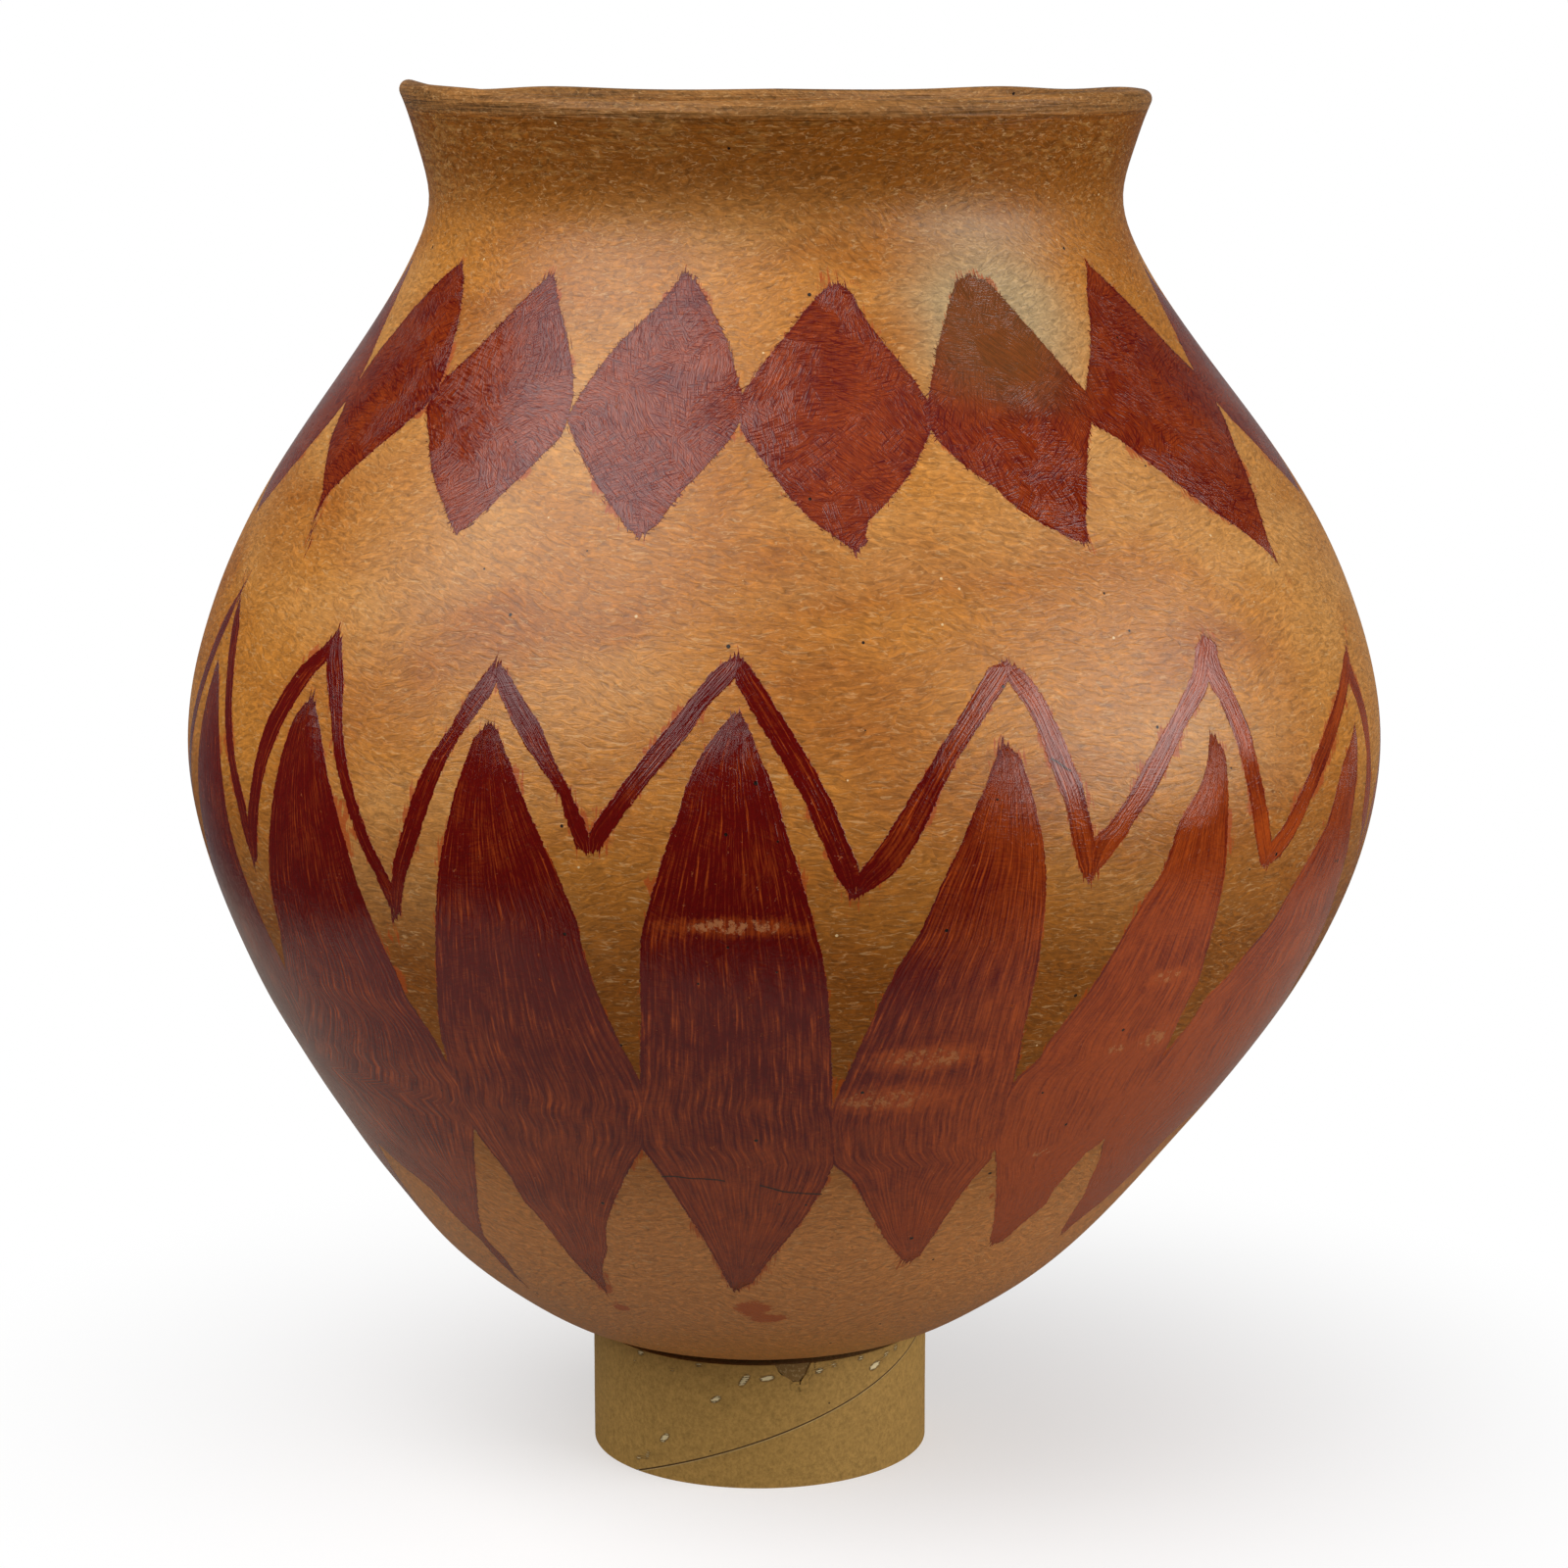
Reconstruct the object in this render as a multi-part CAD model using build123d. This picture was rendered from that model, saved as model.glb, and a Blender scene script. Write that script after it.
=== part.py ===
from build123d import *
import math
import os

# A large hand-coiled clay olla with a rounded base, standing on a ring sawn from a spiral-wound
# paper tube. Millimetres, +Z up. The origin is on the floor, straight under the middle of the belly.

# Sizes of the ring stand
ring_height = 36.0
ring_bore_diameter = 76.0
ring_wall = 10.0
face_ply_thickness = 0.5
glue_line = 0.05  # film of glue between the face ply and the core
seat_bevel = 1.0  # inner top edge crushed by the weight of the pot
seam_rise_per_turn = 108.0  # the strip of face ply climbs this much in one turn
seam_width = 0.4
seam_foot_angle = -136.0  # degrees about Z, where the seam meets the floor
torn_patch_width = 8.0
torn_patch_depth = 5.5
torn_patch_angle = -73.0  # degrees about Z, middle of the patch torn from the ply's top edge

# Sizes of the pot
seat_gap = 0.3  # clearance between the clay and the bevelled edge of the ring
base_drop = 2.5  # how far the base reaches below the seat, inside the ring
belly_diameter = 332.0
belly_rise = 169.7  # from the seat up to the widest coil
neck_diameter = 190.0
neck_rise = 150.0  # from the belly up to the narrowest coil
mouth_diameter = 208.0
lip_rise = 28.0  # from the neck up to the lip
base_thickness = 9.0
wall = 7.0
lip_thickness = 5.0
lip_rounding = 2.2
foot_offset = -7.0  # the pot leans: its foot and the ring sit this far to one side of the belly
neck_offset = -2.3  # and its neck this far
cut_overrun = 4.0  # how far a cutting shape runs past what it cuts

# Meridian between the named circles, as shares of the radius and of the height that lie between them
base_shares = [0.1, 0.15, 0.3, 0.55, 0.8]  # of the seat's radius: circles on the base's shallow dome
lower_wall_shares = [
    (0.07, 0.010),
    (0.14, 0.026),
    (0.21, 0.053),
    (0.29, 0.093),
    (0.40, 0.160),
    (0.535, 0.275),
    (0.69, 0.434),
    (0.84, 0.611),
    (0.94, 0.776),
]
upper_wall_shares = [
    (0.085, 0.227),
    (0.268, 0.427),
    (0.549, 0.627),
    (0.803, 0.793),
    (0.937, 0.900),
]
lip_flare_shares = [(0.333, 0.464), (0.69, 0.78)]
lean_end_share = 0.85  # the lean of the lower wall has gone at this share of the belly's rise
neck_lean_start_share = 0.29  # and that of the neck begins at this share of the neck's rise

# Outline of the torn patch: shares of its width from its middle, and of its depth from the top edge
torn_patch_shares = [(-0.5, 0.0), (-0.42, 0.62), (-0.12, 0.78), (0.02, 1.0), (0.34, 0.95), (0.5, 0.4), (0.44, 0.0)]

# Radii and heights worked out from the sizes
bore_radius = ring_bore_diameter / 2
ring_radius = bore_radius + ring_wall
core_radius = ring_radius - face_ply_thickness - glue_line
seat_radius = bore_radius + seat_bevel
belly_radius = belly_diameter / 2
neck_radius = neck_diameter / 2
mouth_radius = mouth_diameter / 2
seat_height = ring_height + seat_gap
base_height = seat_height - base_drop
belly_height = seat_height + belly_rise
neck_height = belly_height + neck_rise
lip_height = neck_height + lip_rise


def ease(share):
    """Goes smoothly from 0 to 1 as the share goes from 0 to 1, and holds beyond."""
    held = min(max(share, 0), 1)
    return (1 - math.cos(math.pi * held)) / 2


def centre_x(height):
    """Sideways place of the coil at a height: over the ring at the foot, at zero round the belly."""
    lower = foot_offset * (1 - ease((height - seat_height) / (belly_rise * lean_end_share)))
    start = belly_height + neck_rise * neck_lean_start_share
    upper = neck_offset * ease((height - start) / (neck_height - start))
    return lower + upper


def between(low, high, shares):
    """Points of the meridian between two named circles, each a (radius, height) pair."""
    return [
        (low[0] + r * (high[0] - low[0]), low[1] + z * (high[1] - low[1]))
        for r, z in shares
    ]


def outer_meridian():
    """(radius, height) of the outside, from the middle of the base up to the lip."""
    seat = (seat_radius, seat_height)
    belly = (belly_radius, belly_height)
    neck = (neck_radius, neck_height)
    lip = (mouth_radius, lip_height)
    base = [(r * seat_radius, base_height + r * r * base_drop) for r in base_shares]
    lower = between(seat, belly, lower_wall_shares)
    upper = between(belly, neck, upper_wall_shares)
    flare = between(neck, lip, lip_flare_shares)
    return [*base, seat, *lower, belly, *upper, neck, *flare, lip]


def thickness_at(height):
    """Thick at the base, the wall's own thickness from half-way up the belly, and thinner at the lip."""
    if height < belly_height:
        risen = (height - base_height) / (belly_height - base_height)
        return base_thickness + (wall - base_thickness) * ease(2 * risen)
    return wall + (lip_thickness - wall) * ease((height - belly_height) / (lip_height - belly_height))


def direction(before, after):
    """Unit vector along the meridian, from one of its points towards another."""
    run = after[0] - before[0]
    climb = after[1] - before[1]
    slant = math.hypot(run, climb)
    return run / slant, climb / slant


def inner_meridian(outer):
    """The outside moved inwards, square to itself, by the thickness at each height, up to the lip."""
    inner = []
    for i, (r, z) in enumerate(outer[:-1]):
        along_r, along_z = direction(outer[max(i - 1, 0)], outer[i + 1])
        thickness = thickness_at(z)
        inner.append((r - thickness * along_z, z + thickness * along_r))
    return [*inner, (mouth_radius - lip_thickness, lip_height)]


def coiled_skin(meridian):
    """Faces skinned over level circles, one at each point of the meridian, as coils of clay are laid:
    the disc at the foot and the side. The top is left open."""
    skinned = loft([Pos(centre_x(z), 0, z) * Circle(r) for r, z in meridian])
    return skinned.faces().sort_by(Axis.Z)[:-1]


def olla():
    """The fired clay pot in one piece: its outside, its inside and the land of the lip between them,
    sewn into one solid, with both edges of the lip rounded."""
    outside = outer_meridian()
    lip_land = Circle(mouth_radius) - Circle(mouth_radius - lip_thickness)
    lip_face = (Pos(centre_x(lip_height), 0, lip_height) * lip_land).face()
    skin = [*coiled_skin(outside), *coiled_skin(inner_meridian(outside)), lip_face]
    pot = Solid(Shell(skin))
    lip_edges = pot.faces().sort_by(Axis.Z)[-1].edges()
    return fillet(lip_edges, lip_rounding)


def tube(outer, bore, height):
    """An upright tube on the ring's own axis, standing on the floor."""
    ground = Pos(foot_offset, 0, 0)
    solid = extrude(ground * Circle(outer), height)
    return solid - extrude(Pos(foot_offset, 0, -cut_overrun) * Circle(bore), height + 2 * cut_overrun)


def ring_core():
    """The thick wall of the paper tube, with its inner top edge crushed to a bevel."""
    core = tube(core_radius, bore_radius, ring_height)
    inner_top_edge = core.edges().filter_by(GeomType.CIRCLE).sort_by(SortBy.RADIUS)[:2].sort_by(Axis.Z)[-1]
    return chamfer(inner_top_edge, seat_bevel)


def seam_cut():
    """A thin helical blade that parts the face ply where the edges of its strip meet."""
    rise = ring_height + 2 * cut_overrun
    start_angle = seam_foot_angle - 360 * cut_overrun / seam_rise_per_turn
    path = Helix(seam_rise_per_turn, rise, ring_radius)
    blade = Plane(path @ 0, x_dir=(1, 0, 0), z_dir=path % 0) * Rectangle(2 * ring_wall, seam_width)
    cut = sweep(blade, path=path, is_frenet=True)
    return Pos(foot_offset, 0, -cut_overrun) * Rot(0, 0, start_angle) * cut


def torn_patch():
    """The patch where the ply has torn away from the top edge, as a prism across the ply."""
    outline = [(w * torn_patch_width, -d * torn_patch_depth) for w, d in torn_patch_shares]
    left, right = outline[0], outline[-1]
    above = [(right[0], cut_overrun), (left[0], cut_overrun)]
    facing = Plane(origin=(ring_radius, 0, ring_height), x_dir=(0, 1, 0), z_dir=(1, 0, 0))
    patch = extrude(facing * make_face(Polyline(*outline, *above, close=True)), ring_wall / 2, both=True)
    return Pos(foot_offset, 0, 0) * Rot(0, 0, torn_patch_angle) * patch


def ring_face_ply():
    """The smooth outer strip of kraft paper, wound round the core with an open butt seam."""
    ply = tube(ring_radius, ring_radius - face_ply_thickness, ring_height)
    return ply - seam_cut() - torn_patch()


os.makedirs("parts", exist_ok=True)
export_step(olla(), "parts/olla.step")
export_step(ring_core(), "parts/ring_core.step")
export_step(ring_face_ply(), "parts/ring_face_ply.step")
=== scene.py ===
import math

import bpy
import numpy as np
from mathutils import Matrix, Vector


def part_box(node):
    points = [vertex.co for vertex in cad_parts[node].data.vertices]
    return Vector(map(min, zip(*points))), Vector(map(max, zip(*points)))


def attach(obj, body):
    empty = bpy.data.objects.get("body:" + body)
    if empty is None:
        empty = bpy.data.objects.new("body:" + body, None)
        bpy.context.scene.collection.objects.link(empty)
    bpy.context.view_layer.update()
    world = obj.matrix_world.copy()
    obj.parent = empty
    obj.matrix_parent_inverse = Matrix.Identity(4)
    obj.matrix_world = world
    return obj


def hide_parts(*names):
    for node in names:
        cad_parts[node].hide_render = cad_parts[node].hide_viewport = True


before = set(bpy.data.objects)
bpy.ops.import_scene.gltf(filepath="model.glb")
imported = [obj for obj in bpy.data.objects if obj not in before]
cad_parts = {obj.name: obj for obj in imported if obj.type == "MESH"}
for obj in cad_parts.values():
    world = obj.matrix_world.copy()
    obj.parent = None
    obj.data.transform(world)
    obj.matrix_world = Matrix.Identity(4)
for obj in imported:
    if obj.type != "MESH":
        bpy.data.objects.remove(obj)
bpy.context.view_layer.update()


# The view of the photograph
# A camera a little over a metre in front of the pot, level with its mouth and looking slightly down.
# The ellipses of the lip and of the ring give its height and tilt, and the belly its distance.
photo_side = 1600  # pixels
focal_length = 4156.8  # pixels of the photograph
sensor_width = 36.0
eye = np.array([0.0, -1.1291, 0.4081])
looks_down = math.radians(10.868)

view = bpy.data.cameras.new("photo_view")
view.sensor_fit = "HORIZONTAL"
view.sensor_width = sensor_width
view.lens = focal_length * sensor_width / photo_side
camera = bpy.data.objects.new("photo_view", view)
camera.location = eye
camera.rotation_euler = (math.pi / 2 - looks_down, 0, 0)
bpy.context.collection.objects.link(camera)
bpy.context.scene.camera = camera
bpy.context.scene.view_settings.view_transform = "Standard"


# The table and the light
# A pale table top that ends a forearm's length in front of the pot, in a room that is dim but for a large
# soft light high on the left, a lower, narrower one on the right and a pale ceiling, with a white backdrop.
table_low, table_high = (-0.39, -0.31), (0.48, 0.60)  # metres, the near left corner and the far right one
table_paint = "#FFFFFF"  # as the camera sees it
table_bounce = "#9C978E"  # what it throws back at the pot
table_lift = 0.42  # share of plain white that it shows at the ring, so that the shadow stays soft
white_near, white_far = 0.06, 0.30  # metres from the ring: the table turns to plain white between them
backdrop_glow = 0.25
ceiling_glow = 0.4
room_glow = 0.04
fill_glow = 0.34
lamp_aim = 0.22  # metres above the table
left_light = {"azimuth": 54, "height": 44, "away": 1.30, "wide": 1.25, "tall": 1.14, "watts": 15.5}
right_light = {"azimuth": -65, "height": 16, "away": 1.40, "wide": 1.26, "tall": 0.72, "watts": 13.5}


def linear(colour):
    """An sRGB hex colour as the linear one that a shader takes."""
    srgb = np.array([int(colour[i:i + 2], 16) for i in (1, 3, 5)]) / 255
    levels = np.where(srgb <= 0.04045, srgb / 12.92, ((srgb + 0.055) / 1.055) ** 2.4)
    return (*levels, 1.0)


def finish_named(name):
    """A new material of that name with no nodes yet, and its node tree."""
    made = bpy.data.materials.new(name)
    made.use_nodes = True
    made.node_tree.nodes.clear()
    return made, made.node_tree


def add(tree, kind, inputs=None, **settings):
    """Adds a shader node of one kind with its settings, sets or links its inputs, and gives it back. A
    range, From or To, is given as its two ends, and a colour in sRGB hex. An input that is given a node
    takes the first output that this node's settings leave in use."""
    node = tree.nodes.new("ShaderNode" + kind)
    for name, value in settings.items():
        setattr(node, name, value)
    given = dict(inputs or {})
    for span in ("From", "To"):
        if span in given:
            given[span + " Min"], given[span + " Max"] = given.pop(span)
    for name, value in given.items():
        if isinstance(value, str):
            value = linear(value)
        if isinstance(value, bpy.types.Node):
            value = next(output for output in value.outputs if output.enabled)
        if isinstance(value, bpy.types.NodeSocket):
            tree.links.new(value, node.inputs[name])
        else:
            node.inputs[name].default_value = value
    return node


def grid_faces(rows, columns, round_rows=False, round_columns=False):
    """Quads between the neighbours of a grid of points that are counted row by row. They face outwards
    where rows climb and columns run anticlockwise. A round grid joins its last points to its first."""
    row = np.arange(rows if round_rows else rows - 1)[:, None]
    column = np.arange(columns if round_columns else columns - 1)[None, :]
    above, beside = (row + 1) % rows, (column + 1) % columns
    corners = [row * columns + column, row * columns + beside,
               above * columns + beside, above * columns + column]
    return np.stack(np.broadcast_arrays(*corners), axis=-1).reshape(-1, 4).tolist()


def mesh_piece(name, points, faces):
    """A smoothly shaded object made of those points and faces, at the origin."""
    mesh = bpy.data.meshes.new(name)
    mesh.from_pydata(points.reshape(-1, 3).tolist(), [], faces)
    mesh.shade_smooth()
    piece = bpy.data.objects.new(name, mesh)
    bpy.context.collection.objects.link(piece)
    return piece


corner_x, corner_y = np.meshgrid([table_low[0], table_high[0]], [table_low[1], table_high[1]])
table = mesh_piece("table", np.stack([corner_x, corner_y, 0 * corner_x], axis=-1), grid_faces(2, 2))

paint, tree = finish_named("matt_white_paint")
place = add(tree, "TexCoord").outputs["Object"]
away = add(tree, "VectorMath", {0: place}, operation="LENGTH")
plain = add(tree, "MapRange", {
    "Value": away, "From": (white_near, white_far), "To": (table_lift, 1)}, interpolation_type="SMOOTHSTEP")
seen = add(tree, "LightPath").outputs["Is Camera Ray"]
whitening = add(tree, "Math", {0: plain, 1: seen}, operation="MULTIPLY")
painted = add(tree, "Mix", {0: seen, 6: table_bounce, 7: table_paint}, data_type="RGBA")
matt = add(tree, "BsdfPrincipled", {"Base Color": painted, "Roughness": 0.8, "Specular IOR Level": 0.0})
white = add(tree, "Emission", {"Color": (1, 1, 1, 1), "Strength": 1.0})
shown = add(tree, "MixShader", {0: whitening, 1: matt, 2: white})
add(tree, "OutputMaterial", {"Surface": shown})
table.data.materials.append(paint)

room = bpy.data.worlds.new("white_room")
room.use_nodes = True
room.node_tree.nodes.clear()
bpy.context.scene.world = room
tree = room.node_tree
rays = add(tree, "LightPath").outputs
bearing = add(tree, "TexCoord").outputs["Generated"]
bearing = add(tree, "SeparateXYZ", {0: bearing})
ahead = add(tree, "MapRange", {
    "Value": bearing.outputs["Y"], "From": (0.8, 0.99), "To": (room_glow, backdrop_glow)},
    interpolation_type="SMOOTHSTEP")
overhead = add(tree, "MapRange", {
    "Value": bearing.outputs["Z"], "From": (0.7, 0.92), "To": (0, ceiling_glow)},
    interpolation_type="SMOOTHSTEP")
mirrored = add(tree, "Math", {0: ahead, 1: overhead}, operation="MAXIMUM")
lit = add(tree, "Mix", {0: rays["Is Glossy Ray"], 2: fill_glow, 3: mirrored})
in_view = add(tree, "Math", {0: rays["Is Camera Ray"], 1: rays["Is Transmission Ray"]}, operation="MAXIMUM")
strength = add(tree, "Mix", {0: in_view, 2: lit, 3: 1.0})
walls = add(tree, "Background", {"Color": (1, 1, 1, 1), "Strength": strength})
add(tree, "OutputWorld", {"Surface": walls})


def soft_light(name, azimuth, height, away, wide, tall, watts):
    """A rectangular lamp that faces the belly, so many degrees left of the camera and above the level."""
    lamp = bpy.data.lights.new(name, "AREA")
    lamp.shape = "RECTANGLE"
    lamp.size, lamp.size_y, lamp.energy = wide, tall, watts
    stand = bpy.data.objects.new(name, lamp)
    turn, lift = math.radians(azimuth), math.radians(height)
    stand.location = (-away * math.sin(turn) * math.cos(lift), -away * math.cos(turn) * math.cos(lift),
                      lamp_aim + away * math.sin(lift))
    stand.rotation_euler = (math.pi / 2 - lift, 0, -turn)
    stand.visible_camera = False
    bpy.context.collection.objects.link(stand)


soft_light("left_light", **left_light)
soft_light("right_light", **right_light)


# Ring core
# The thick wall of the paper tube that the pot stands on: brown paperboard strips wound and glued, sawn
# off square at both ends. The pot's weight has crushed the inner top edge to a bevel.
ring_low, ring_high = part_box("ring_face_ply")
ring_centre = np.array([(ring_low[0] + ring_high[0]) / 2, (ring_low[1] + ring_high[1]) / 2, 0])
ring_radius = (ring_high[0] - ring_low[0]) / 2
ring_height = ring_high[2]
mm = 0.001  # metres
ply_thickness = 0.5 * mm
glue_line = 0.05 * mm
core_radius = ring_radius - ply_thickness - glue_line
bore_radius = 38 * mm
seat_bevel = 1 * mm
board_brown = "#987646"
board_dark = "#755830"
board_pale = "#C4AA76"
board_ply = 0.62  # millimetres, one strip of board
board_fibre = 0.714  # millimetres, a tuft of fibres, wider than a fibre so that it shows
wobble_size = 16.7  # millimetres, over which a strip wanders
core_columns = 300
core_spacing = 0.9 * mm
saw_mark_depth = 0.12 * mm


def along_runs(corners, spacing):
    """Points spread evenly along the straight runs of a closed outline, at most so far apart."""
    ends = np.roll(corners, -1, axis=0)
    counts = np.ceil(np.hypot(*(ends - corners).T) / spacing).astype(int)
    return np.vstack([a + np.arange(n)[:, None] / n * (b - a) for a, b, n in zip(corners, ends, counts)])


def turned(profile, azimuths, centre=(0, 0, 0)):
    """Points of a profile of (radius, height) pairs, turned about an upright axis at the centre."""
    radius, height = profile[..., 0][:, None], profile[..., 1][:, None]
    level = np.broadcast_to(height, (len(profile), len(azimuths)))
    places = np.stack([radius * np.sin(azimuths), -radius * np.cos(azimuths), level], axis=-1)
    return places + np.array(centre)


def waves(across, up, count, most_turns, seed):
    """Seeded unevenness between about -1 and 1: cosine waves added up, each with a whole number of turns
    round the piece, so that it closes, and fainter the more turns it has. Across is the azimuth, and up is
    in radians too."""
    rng = np.random.default_rng(seed)
    turns = rng.integers(1, most_turns, count)[:, None, None]
    climb = rng.uniform(-1, 1, count)[:, None, None] * turns
    phase = rng.uniform(0, 2 * math.pi, count)[:, None, None]
    size = 1 / np.sqrt(turns)
    return (size * np.cos(turns * across + climb * up + phase)).sum(axis=0) / (size.sum() ** 0.5 * 1.6)


core_outline = np.array([
    (core_radius, 0), (core_radius, ring_height), (bore_radius + seat_bevel, ring_height),
    (bore_radius, ring_height - seat_bevel), (bore_radius, 0)])
core_profile = along_runs(core_outline, core_spacing)
core_azimuths = np.linspace(0, 2 * math.pi, core_columns, endpoint=False)
core_points = turned(core_profile, core_azimuths, ring_centre)
sawn = np.isclose(core_profile[:, 1], ring_height)[:, None]
saw_marks = waves(core_azimuths[None, :], core_profile[:, :1] * 900, 40, 60, seed=3)
core_points[..., 2] -= np.where(sawn, saw_mark_depth * (1 + saw_marks) / 2, 0)
core = mesh_piece("ring_core", core_points, grid_faces(len(core_profile), core_columns, True, True))
core.data.set_sharp_from_angle(angle=math.radians(35))
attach(core, "ring")
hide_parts("ring_core")

# Grey-brown paperboard, matt: its strips show as rings on the sawn ends, with a furry saw-cut edge.
board, tree = finish_named("wound_paperboard")
place = add(tree, "TexCoord").outputs["Object"]
from_axis = add(tree, "VectorMath", {0: place, 1: ring_centre}, operation="SUBTRACT")
level = add(tree, "VectorMath", {0: from_axis, 1: (1, 1, 0)}, operation="MULTIPLY")
radius = add(tree, "VectorMath", {0: level}, operation="LENGTH")
wobble = add(tree, "TexNoise", {"Vector": place, "Scale": 1000 / wobble_size, "Detail": 1.0})
wobbly = add(tree, "Math", {0: wobble, 1: 0.5 * mm, 2: radius}, operation="MULTIPLY_ADD")
plies = add(tree, "TexNoise", {"W": wobbly, "Scale": 1000 / board_ply, "Detail": 1.0}, noise_dimensions="1D")
fibres = add(tree, "TexNoise", {
    "Vector": place, "Scale": 1000 / board_fibre, "Detail": 3.0, "Roughness": 0.65})
plied = add(tree, "MapRange", {"Value": plies, "From": (0.36, 0.62)})
tone = add(tree, "Mix", {0: plied, 6: board_dark, 7: board_brown}, data_type="RGBA")
furry = add(tree, "MapRange", {"Value": fibres, "From": (0.52, 0.72), "To": (0, 0.55)})
fluffed = add(tree, "Mix", {0: furry, 6: tone, 7: board_pale}, data_type="RGBA")
fibre_relief = add(tree, "Math", {0: fibres, 1: 0.14 * mm}, operation="MULTIPLY")
relief = add(tree, "Math", {0: plies, 1: 0.12 * mm, 2: fibre_relief}, operation="MULTIPLY_ADD")
bumped = add(tree, "Bump", {"Height": relief, "Distance": 1.0, "Strength": 1.0})
rough_board = add(tree, "BsdfPrincipled", {
    "Base Color": fluffed, "Roughness": 0.9, "Specular IOR Level": 0.25, "Normal": bumped})
add(tree, "OutputMaterial", {"Surface": rough_board})
core.data.materials.append(board)


# Ring face ply
# The tube's smooth outer strip of kraft paper, wound as a helix and glued over the core. Its two edges
# meet in an open butt seam, a patch has torn from its top edge, and knocks have lifted pale flecks.
seam_foot = math.radians(-46)  # azimuth where the seam meets the table
seam_rise = 0.108  # metres in one turn
seam_width = 0.4 * mm
torn_place = math.radians(11.5)
torn_width = 10.0 * mm
torn_depth = 5.5 * mm
torn_shares = [(-0.5, 0.0), (-0.38, 0.50), (-0.12, 0.74), (0.02, 1.0), (0.28, 0.93), (0.41, 0.45), (0.5, 0.0)]
torn_reach_share = 0.5  # of the height: how much of the sheet above the table gives way to the tear
seam_stain = 0.55 * mm  # how far the old glue shows beside the seam
seam_lift, seam_lift_reach = 0.1 * mm, 1.2 * mm  # how far the paper stands off beside the seam
paper_swell = 0.05 * mm
edge_wear = 0.12  # share of the tear's depth by which its rim is uneven
face_inset = 0.08 * mm  # room for the swells inside the ring's own radius
kraft = "#B48C48"
kraft_dark = "#8C6C34"
kraft_pale = "#E2CFA0"
kraft_glue = "#5A4020"
mottle_size = 1.92  # millimetres, a cloud of fibres
paper_fibre = 0.91  # millimetres, wider than a fibre so that it shows
glue_dot_spacing = 6.67  # millimetres
ply_rows, ply_columns = 58, 500
# Each fleck: azimuth in degrees, height, length and width in millimetres, and tilt in degrees.
flecks = [(-33.6, 12.0, 3.8, 1.35, 48), (-14.5, 25.6, 3.2, 1.3, 36), (-4.9, 31.6, 4.2, 1.35, 55),
          (2.8, 32.2, 3.9, 1.2, 8), (20.6, 33.4, 2.2, 1.3, 30), (26.0, 34.6, 1.6, 1.1, 120),
          (42.7, 31.6, 3.8, 1.6, 20), (48.3, 33.9, 1.8, 1.2, 60), (-43.9, 35.2, 2.2, 1.3, 10),
          (36.5, 35.0, 1.8, 1.2, 20), (-20.5, 35.2, 1.6, 1.1, 0), (53.5, 34.6, 1.8, 1.2, 75),
          (-47.2, 32.0, 0.8, 0.7, 0), (-30.3, 32.4, 0.9, 0.7, 30), (-45.4, 3.8, 1.6, 0.9, 40),
          (-41.0, 5.6, 2.6, 0.8, 75), (96.0, 34.0, 3.0, 1.1, 15), (128.0, 20.0, 2.4, 1.0, 62),
          (171.0, 33.2, 3.8, 1.0, 5), (214.0, 9.0, 2.0, 1.0, 40), (247.0, 33.8, 2.6, 1.2, 25)]


def ply_sheet(radius):
    """One side of the strip at that radius, as a grid: rows climb from the table to the top edge, which
    dips at the torn patch, and columns run once round from one edge of the seam to its other edge."""
    share_up = np.linspace(0, 1, ply_rows)[:, None]
    open_angle = seam_width / radius
    share_round = np.linspace(0, 1, ply_columns)[None, :]
    start = seam_foot + 2 * math.pi * share_up * ring_height / seam_rise + open_angle / 2
    azimuth = start + share_round * (2 * math.pi - open_angle)
    from_tear = (azimuth - torn_place + math.pi) % (2 * math.pi) - math.pi
    places, depths = np.array(torn_shares).T
    ragged = waves(azimuth, 0 * azimuth, 60, 240, seed=8)
    depth = torn_depth * np.interp(from_tear * radius / torn_width, places, depths)
    dip = depth * (1 + edge_wear * ragged) + paper_swell * (1 + ragged)
    height = share_up * ring_height - dip * np.clip((share_up - 1) / torn_reach_share + 1, 0, 1) ** 2
    near_seam = np.exp(-np.minimum(share_round, 1 - share_round) * 2 * math.pi * radius / seam_lift_reach)
    swell = paper_swell * waves(azimuth, height / ring_height * 4, 30, 24, seed=5) + seam_lift * near_seam
    out = radius + swell
    return np.stack([out * np.sin(azimuth), -out * np.cos(azimuth), height], axis=-1) + ring_centre


def seam_reach(radius):
    """How far each point of the sheet lies from the edge below the seam and from the edge above it, round
    the tube, held at 9 mm."""
    round_sheet = np.linspace(0, 1, ply_columns) * 2 * math.pi * radius
    edges = np.stack([round_sheet, round_sheet[::-1], 0 * round_sheet], axis=-1)
    return np.broadcast_to(np.minimum(edges, 9 * mm), (ply_rows, ply_columns, 3))


def sheet_faces(rows, columns):
    """Faces of a closed sheet: its outer grid, its inner grid turned round, and the strip that joins their
    borders, where the inner grid's points are counted after the outer ones."""
    outer = np.array(grid_faces(rows, columns))
    count = rows * columns
    index = np.arange(count).reshape(rows, columns)
    border = np.concatenate([index[0], index[1:, -1], index[-1, -2::-1], index[-2:0:-1, 0]])
    following = np.roll(border, -1)
    rim = np.stack([border, border + count, following + count, following], axis=-1)
    return np.vstack([outer, outer[:, ::-1] + count, rim]).tolist()


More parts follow.
